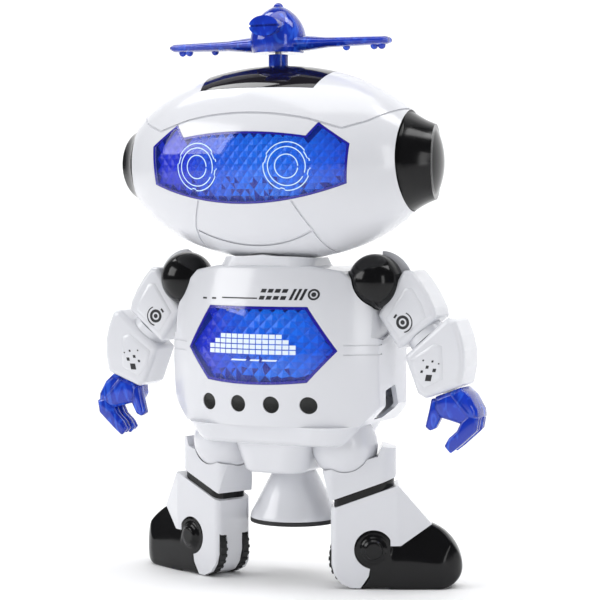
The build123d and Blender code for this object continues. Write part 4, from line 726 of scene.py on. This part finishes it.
def studded_disc_tree():
    """Six-sided studs in a square grid, trimmed to a disc."""
    sizes = [
        ("Radius", "NodeSocketFloat", 0.003),
        ("Pitch", "NodeSocketFloat", 0.0006),
        ("Stud Radius", "NodeSocketFloat", 0.0002),
        ("Stud Height", "NodeSocketFloat", 0.0002),
        ("Rows", "NodeSocketInt", 12),
    ]
    tree, given, result = repeat_tree("studded_disc", sizes)
    n, link = tree.nodes, tree.links.new
    span = n.new("ShaderNodeMath")
    span.operation = "MULTIPLY"
    link(given.outputs["Pitch"], span.inputs[0])
    link(given.outputs["Rows"], span.inputs[1])
    grid = n.new("GeometryNodeMeshGrid")
    for label in ("Size X", "Size Y"):
        link(span.outputs[0], grid.inputs[label])
    for label in ("Vertices X", "Vertices Y"):
        link(given.outputs["Rows"], grid.inputs[label])
    place = n.new("GeometryNodeInputPosition")
    length = n.new("ShaderNodeVectorMath")
    length.operation = "LENGTH"
    link(place.outputs["Position"], length.inputs[0])
    beyond = n.new("FunctionNodeCompare")
    beyond.operation = "GREATER_THAN"
    link(length.outputs["Value"], beyond.inputs["A"])
    link(given.outputs["Radius"], beyond.inputs["B"])
    trimmed = n.new("GeometryNodeDeleteGeometry")
    link(grid.outputs["Mesh"], trimmed.inputs["Geometry"])
    link(beyond.outputs["Result"], trimmed.inputs["Selection"])
    stud = n.new("GeometryNodeMeshCylinder")
    stud.inputs["Vertices"].default_value = 6
    link(given.outputs["Stud Radius"], stud.inputs["Radius"])
    link(given.outputs["Stud Height"], stud.inputs["Depth"])
    spread = n.new("GeometryNodeInstanceOnPoints")
    link(trimmed.outputs["Geometry"], spread.inputs["Points"])
    link(stud.outputs["Mesh"], spread.inputs["Instance"])
    ended(tree, given, result, spread.outputs["Instances"])
    return tree


def ringed_bars_tree():
    """Bars set evenly round a wheel, their length along its axis."""
    sizes = [
        ("Count", "NodeSocketInt", 24),
        ("Radius", "NodeSocketFloat", 0.0128),
        ("Bar Size", "NodeSocketVector", (0.0008, 0.0012, 0.0036)),
    ]
    tree, given, result = repeat_tree("ringed_bars", sizes)
    n, link = tree.nodes, tree.links.new
    circle = n.new("GeometryNodeMeshCircle")
    link(given.outputs["Count"], circle.inputs["Vertices"])
    link(given.outputs["Radius"], circle.inputs["Radius"])
    bar = n.new("GeometryNodeMeshCube")
    link(given.outputs["Bar Size"], bar.inputs["Size"])
    place = n.new("GeometryNodeInputPosition")
    turned = n.new("FunctionNodeAlignRotationToVector")
    turned.axis = "X"
    link(place.outputs["Position"], turned.inputs["Vector"])
    spread = n.new("GeometryNodeInstanceOnPoints")
    link(circle.outputs["Mesh"], spread.inputs["Points"])
    link(bar.outputs["Mesh"], spread.inputs["Instance"])
    link(turned.outputs["Rotation"], spread.inputs["Rotation"])
    ended(tree, given, result, spread.outputs["Instances"])
    return tree


def joined(name, meshes_and_places):
    """One mesh from several, each moved by its matrix."""
    bm = bmesh.new()
    for mesh, place in meshes_and_places:
        part = mesh.copy()
        part.transform(place)
        bm.from_mesh(part)
        bpy.data.meshes.remove(part)
    return kept_mesh(name, bm)


# ---------------------------------------------------------------- head
for node in ("head_front_shell", "head_rear_shell"):
    ellipsoid_normals(dressed(node, gloss_white, flatten=0))
ellipsoid_normals(dressed("crown_window", smoked_black, flatten=0))
ellipsoid_normals(dressed("visor_lens", lens_blue, flatten=0))
for side in ("left", "right"):
    dressed("ear_pod_" + side, gloss_black, 0.5)
visor = visor_outline()
facet_sheet(
    "visor_facets", drawn_in(visor, 0.8), head_y, pitch=(4.4, 5.4), relief=0.55, unrest=0.05, seed=7,
    material=crystal_blue, body="head", replaced=("visor_reflector",),
)
visor_rim = band_faces(drawn_in(visor, 0.12), drawn_in(visor, 1.0))
slab("visor_edge", visor_rim, head_y, 0.0, 0.25, edge_blue, "head")


def notched_radius(angle):
    """The outer eye ring's radius, which steps in at its notches."""
    degrees_round = (angle * 180 / pi) % 360
    notched = any(low < degrees_round < high for low, high in EYE_NOTCHES)
    return EYE_RING_NOTCHED if notched else EYE_RING_RADIUS


for side, x in (("left", EYE[0]), ("right", -EYE[0])):
    z = HEAD_Z + EYE[1]
    rings = ring_faces(x, z, notched_radius, EYE_RING_WIDTH, start=12, turn=344, steps=120)
    rings += ring(x, z, 8.35, EYE_RING_WIDTH, start=-20, turn=348, steps=100)
    rings += ring(x, z, 5.2, EYE_RING_WIDTH, start=0, turn=352, steps=80)
    slab("eye_rings_" + side, rings, head_y, EYE_RING_LIFT, PRINT_DEPTH, pale_ink, "head")

# ---------------------------------------------------------------- propeller
dressed("propeller", clear_blue, 0.25)
dressed("propeller_sleeve", clear_blue, 0.2)
dressed("propeller_shaft", steel, 0.15)

# ---------------------------------------------------------------- torso
dressed("torso_front_shell", gloss_white, flatten=0)
dressed("torso_rear_shell", gloss_white, flatten=0)
dressed("chest_lens", lens_blue, 0.3)
chest = chest_outline()
facet_sheet(
    "chest_facets", drawn_in(chest, 0.8), torso_y, pitch=(5.6, 6.0), relief=0.7, unrest=0.16, seed=11,
    material=crystal_blue, body="torso", replaced=("chest_reflector",),
)
chest_rim = band_faces(drawn_in(chest, 0.12), drawn_in(chest, 1.3))
slab("chest_edge", chest_rim, torso_y, 0.0, 0.3, edge_blue, "torso")
dressed("vent_plugs", mesh_black)
vent_studs = repeated(
    "vent_studs",
    studded_disc_tree(),
    {"Radius": 3.1 * MM, "Pitch": 0.62 * MM, "Stud Radius": 0.2 * MM, "Stud Height": 0.5 * MM, "Rows": 11},
    mesh_black,
)
upright = Matrix.Rotation(radians(90), 4, "X")
vent_meshes = []
for x in VENT_X:
    place = Matrix.Translation((x * MM, (torso_y(x, VENT_Z) + VENT_SINK) * MM, VENT_Z * MM))
    vent_meshes.append((vent_studs, place @ Matrix.Rotation(radians(x * VENT_TURN), 4, "Z") @ upright))
finished("vent_mesh", joined("vent_mesh", vent_meshes), mesh_black, "torso")


def bar(x, z, width, height, slant=0.0):
    """Faces of a printed bar, divided along its length to follow a curved front."""
    steps = max(1, round(width / 1.5))
    edges = [x - width / 2 + width * i / steps for i in range(steps + 1)]
    low, high = z - height / 2, z + height / 2
    return [
        [(a - slant, low), (b - slant, low), (b + slant, high), (a + slant, high)]
        for a, b in zip(edges, edges[1:])
    ]


def chest_marks():
    """Dashes, two rows of blocks, three slashes and a ringed dot, printed above the chest lens."""
    marks = []
    for x, z, width, height in CHEST_DASHES:
        marks += bar(x, z, width, height)
    for x in CHEST_BLOCKS_X:
        for shift, z in CHEST_BLOCK_ROWS:
            marks += bar(x + shift, z, *CHEST_BLOCK)
    for x in CHEST_SLASHES_X:
        marks += bar(x, CHEST_DOT[1], *CHEST_SLASH)
    marks += ring(*CHEST_DOT, radius=2.4, width=0.8, steps=30)
    marks += ring(*CHEST_DOT, radius=1.0, width=0.95, steps=14)
    return marks


def meter_marks():
    """Columns of small blocks like a level meter, with three slanted dashes at its foot."""
    marks = []
    for column, count in enumerate(METER_HEIGHTS):
        for step in range(count):
            x, z = METER_CORNER[0] + METER_STEP[0] * column, METER_CORNER[1] + METER_STEP[1] * step
            marks += bar(x, z, *METER_BLOCK)
    for x, width in METER_FOOT:
        marks += bar(x, METER_FOOT_Z, width, height=0.7, slant=0.3)
    return marks


slab("chest_print", chest_marks(), torso_y, PRINT_LIFT, PRINT_DEPTH, black_ink, "torso")
slab("lens_print", meter_marks(), torso_y, PRINT_LIFT, PRINT_DEPTH, white_ink, "torso")
dressed("pelvis_shell", gloss_white, 0.8)
dressed("neck_post", gloss_white, 0.4)

# ---------------------------------------------------------------- limbs
tread = repeated(
    "tread",
    ringed_bars_tree(),
    {
        "Count": TREAD_BARS,
        "Radius": (WHEEL_RADIUS - TREAD_SINK) * MM,
        "Bar Size": [s * MM for s in TREAD_BAR],
    },
    soft_rubber,
)


def lump(bm, outline, side, near, far, draft):
    """A closed moulded lump: an outline between two depths, drawn in at both faces for sloping edges."""
    points = [(side * x, z) for x, z in outline]
    small = drawn_in(points, draft)
    rows = []
    for y, outline_here in ((near, small), (near + draft, points), (far - draft, points), (far, small)):
        rows.append([point(bm, x, y, z) for x, z in outline_here])
    closed_rows(bm, rows)


PALM = (
    (73.5, 85.3), (85.1, 89.7), (89.2, 86.2), (92.6, 80.4), (93.0, 76.8),
    (86.6, 73.6), (80.8, 75.2), (75.2, 76.6), (73.0, 80.2),
)
RIDGE = ((79.5, 87.2), (82.0, 88.1), (90.4, 79.0), (88.4, 76.6))
THUMB = ((71.6, 84.4), (75.6, 84.8), (76.2, 77.0), (73.4, 71.6), (70.9, 70.5), (68.7, 72.1), (70.4, 78.8))
HAND_LUMPS = ((PALM, -0.2, 14.2, 1.6), (RIDGE, -0.45, 3.0, 0.8), (THUMB, 0.6, 6.2, 1.2))
FINGER = (
    (93.4, 77.2), (92.4, 71.4), (84.6, 64.4), (80.7, 61.4), (77.9, 64.4),
    (80.0, 68.0), (83.6, 71.2), (85.6, 75.4), (88.8, 78.6),
)
FINGER_DEPTHS = (-0.3, 3.5, 7.2, 10.9)
FINGER_DRAWN = (0.0, 0.4, 0.2, 0.9)
FINGER_WIDTH = 3.5
FINGER_DRAFT = 0.9


def hand_mesh(name, side):
    """Palm with its ridge, thumb and four curled fingers of the clear blue hand."""
    bm = bmesh.new()
    for outline, near, far, draft in HAND_LUMPS:
        lump(bm, outline, side, near, far, draft)
    for depth, amount in zip(FINGER_DEPTHS, FINGER_DRAWN):
        outline = drawn_in(FINGER, amount) if amount else FINGER
        lump(bm, outline, side, depth, depth + FINGER_WIDTH, FINGER_DRAFT)
    return kept_mesh(name, bm)


def badge_faces(x, z, side):
    """A printed disc with a light core and two sweeping arcs round it."""
    faces = ring(x, z, radius=3.0, width=1.25, steps=36)
    faces += ring(x, z, radius=1.0, width=0.95, steps=18)
    faces += ring(x, z, radius=4.5, width=0.5, start=90 - side * 20, turn=-side * 150, steps=40)
    faces += ring(x, z, radius=4.7, width=0.9, start=90 + side * 40, turn=side * 26, steps=10)
    return faces


def pad_front(x, z, out):
    """The y of the arms' flat pads, moved outwards."""
    return PAD_FRONT_Y - out


def foot_frame(sign):
    """The ankle's place on the floor, the way the toe points and the way across it."""
    ahead = Vector((sign * cos(radians(FOOT_YAW)), sin(radians(FOOT_YAW)), 0))
    across = Vector((-ahead.y, ahead.x, 0))
    start = Vector((sign * FOOT_ORIGIN[0], FOOT_ORIGIN[1], 0)) * MM
    return start, ahead, across


def domed_toe(mesh, sign):
    """Draw the toe's upper corners and its tip's corners in to a dome, and rest it on the floor."""
    start, ahead, across = foot_frame(sign)
    for vert in mesh.vertices:
        along, aside = (vert.co - start).dot(ahead) / MM, (vert.co - start).dot(across) / MM
        t = min(1.0, max(0.0, (along - TOE_DOME_FROM) / TOE_DOME_LENGTH))
        t = t * t * (3 - 2 * t)
        height = (vert.co.z / MM - TOE_DOME_Z) / TOE_DOME_HEIGHT
        pull_in = TOE_SIDE_PULL * t * height * height * aside
        pull_back = TOE_TIP_PULL * t * aside * aside
        vert.co -= (across * pull_in + ahead * pull_back) * MM
        vert.co.z = max(vert.co.z, 0.0)


def dress_arm(side, sign):
    """Shoulder ball, arm shells, their pads and the prints on the pads."""
    dressed("shoulder_ball_" + side, gloss_black, flatten=0)
    for node in ("upper_arm_front_", "upper_arm_back_", "forearm_front_", "forearm_back_"):
        dressed(node + side, gloss_white, flatten=0)
    for limb, outline, height in (("upper_arm", UPPER_ARM_PAD, 0.55), ("forearm", FOREARM_PAD, 0.6)):
        raised_pad(
            limb + "_pad_" + side, outline, sign, ARM_FRONT_Y, height, PAD_SLOPE,
            gloss_white, limb + "_" + side,
        )
    badge = badge_faces(sign * BADGE[0], BADGE[1], sign)
    slab("badge_" + side, badge, pad_front, 0.0, PRINT_DEPTH, black_ink, "upper_arm_" + side)
    specks = []
    for x, z, size in SPECKS:
        x, z = sign * (SPECKS_AT[0] + x), SPECKS_AT[1] + z
        specks.append(box_face(x, z, size, size, sign * SPECK_SLANT * size))
    slab("specks_" + side, specks, pad_front, 0.05, PRINT_DEPTH, black_ink, "forearm_" + side)


def dress_hand(side, sign):
    """The clear hand with its moulded lumps."""
    name = "hand_" + side
    hand = rounded(hand_mesh(name + "_skin", sign), 0.5, corner=20)
    smooth_by_angle(hand, 40)
    finished(name + "_skin", hand, clear_blue, name, (name,))


def dress_leg(side, sign):
    """Thigh, knee band, boot and the domed toe cap."""
    dressed("thigh_shell_" + side, gloss_white, 0.7)
    dressed("knee_band_" + side, gloss_black, 0.3)
    dressed("boot_shell_" + side, gloss_white, 0.7)
    toe = "toe_cap_" + side
    toe_mesh = softened(welded_copy(toe), TOE_GRAIN, TOE_RUBS)
    domed_toe(toe_mesh, sign)
    finished(toe + "_skin", toe_mesh, gloss_black, nodes[toe]["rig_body"], (toe,))


def dress_wheels(side, sign):
    """The heel wheels, their tyres cut down to the foot of the tread, and the tread's bars."""
    wheels = dressed("heel_wheels_" + side, soft_rubber, 0.3)
    start, ahead, across = foot_frame(sign)
    hub = start + ahead * WHEEL_CENTRE[0] * MM
    hub.z = WHEEL_CENTRE[1] * MM
    for vert in wheels.data.vertices:
        spoke = Vector(((vert.co - hub).dot(ahead), 0, vert.co.z - hub.z))
        if spoke.length > (WHEEL_RADIUS - TYRE_EDGE) * MM:
            trim = TREAD_DEPTH * MM / spoke.length
            vert.co -= ahead * spoke.x * trim + Vector((0, 0, spoke.z * trim))
    turn = ahead.to_track_quat("X", "Z").to_matrix().to_4x4() @ Matrix.Rotation(radians(90), 4, "X")
    offset = across * WHEEL_MID * MM
    bars = joined("treads_" + side, [(tread, Matrix.Translation(hub + offset * k) @ turn) for k in (-1, 1)])
    finished("treads_" + side, bars, soft_rubber, "heel_wheels_" + side)


for side, sign in (("left", 1), ("right", -1)):
    dress_arm(side, sign)
    dress_hand(side, sign)
    dress_leg(side, sign)
    dress_wheels(side, sign)

# ---------------------------------------------------------------- base, fasteners and works
dressed("base_cone", gloss_white, 0.4)
dressed("base_ring", soft_rubber, 0.3)
dressed("battery_cover", gloss_white, 0.4)
dressed("power_switch", switch_black, 0.3)
for node in ("cover_screw", "case_screws", "drive_shaft"):
    dressed(node, steel, 0.15)
WORKS = {
    "batteries": cell_jacket,
    "battery_contacts": contact_metal,
    "battery_holder": inner_plastic,
    "head_light_board": circuit_board,
    "main_board": circuit_board,
    "head_frame": inner_plastic,
    "gearbox_frame": inner_plastic,
    "idler_gear": inner_plastic,
    "output_gear": inner_plastic,
    "motor_pinion": inner_plastic,
    "shoulder_frame": inner_plastic,
    "motor": steel,
    "hip_pins": steel,
    "speaker": switch_black,
}
for node, material in WORKS.items():
    nodes[node].data.materials.clear()
    nodes[node].data.materials.append(material)

# ---------------------------------------------------------------- studio, in metres
FLOOR_REACH = 3.0
BACKDROP_HEIGHT = 2.5
COVE_START = 0.5
COVE_RADIUS = 0.6
LAMPS = (
    ("window_left", (1.0, 0.8), (-1.2, -0.95, 0.8), (0, 0, 0.15), 11),
    ("overhead", (1.2, 1.0), (0.1, -0.1, 1.5), (0, 0, 0.1), 10),
    ("fill_right", (0.25, 0.7), (1.1, -0.75, 0.35), (0, 0, 0.1), 1.8),
    ("backdrop_left", (0.8, 0.5), (-0.9, 0.2, 1.4), (-0.4, 1.1, 0.3), 7),
    ("backdrop_right", (0.8, 0.5), (0.9, 0.2, 1.4), (0.4, 1.1, 0.3), 7),
)
AIR_LIGHT = 0.38
AIR_IN_REFLECTIONS = 0.12
CAMERA_PLACE = (0.37612, -0.77116, 0.1639)
CAMERA_TILT = 90 - 2.584
CAMERA_TURN = 26 - 0.632
CAMERA_LENS = 117.0

sweep = [(-FLOOR_REACH, 0.0), (COVE_START, 0.0)]
for degrees_up in range(6, 91, 6):
    a = radians(degrees_up)
    sweep.append((COVE_START + COVE_RADIUS * sin(a), COVE_RADIUS - COVE_RADIUS * cos(a)))
sweep.append((COVE_START + COVE_RADIUS, BACKDROP_HEIGHT))
verts = [(x, y, z) for y, z in sweep for x in (-FLOOR_REACH, FLOOR_REACH)]
faces = [(2 * i, 2 * i + 1, 2 * i + 3, 2 * i + 2) for i in range(len(sweep) - 1)]
floor_mesh = bpy.data.meshes.new("studio_floor")
floor_mesh.from_pydata(verts, [], faces)
for face in floor_mesh.polygons:
    face.use_smooth = True
floor_mesh.materials.append(plastic("studio_white", (0.93, 0.93, 0.93), (0.93, 0.93, 0.93), 0.7, 0.0))
studio_floor = placed("studio_floor", floor_mesh)

for name, (width, height), place, aim, power in LAMPS:
    lamp = bpy.data.lights.new(name, "AREA")
    lamp.shape = "RECTANGLE"
    lamp.size, lamp.size_y = width, height
    lamp.energy = power
    softbox = placed(name, lamp)
    softbox.location = place
    softbox.rotation_euler = (Vector(aim) - Vector(place)).to_track_quat("-Z", "Y").to_euler()

world = bpy.data.worlds.new("studio_air")
bpy.context.scene.world = world
world.use_nodes = True
air = world.node_tree.nodes
ray, calm = air.new("ShaderNodeLightPath"), air.new("ShaderNodeMapRange")
calm.inputs["To Min"].default_value = AIR_LIGHT
calm.inputs["To Max"].default_value = AIR_IN_REFLECTIONS
world.node_tree.links.new(ray.outputs["Is Glossy Ray"], calm.inputs["Value"])
world.node_tree.links.new(calm.outputs["Result"], air["Background"].inputs["Strength"])
air["Background"].inputs["Color"].default_value = (0.96, 0.97, 1.0, 1)

camera = bpy.data.cameras.new("camera")
camera.lens = CAMERA_LENS
camera_holder = placed("camera", camera)
camera_holder.location = CAMERA_PLACE
camera_holder.rotation_euler = (radians(CAMERA_TILT), 0, radians(CAMERA_TURN))
bpy.context.scene.camera = camera_holder
bpy.context.scene.view_settings.view_transform = "Standard"
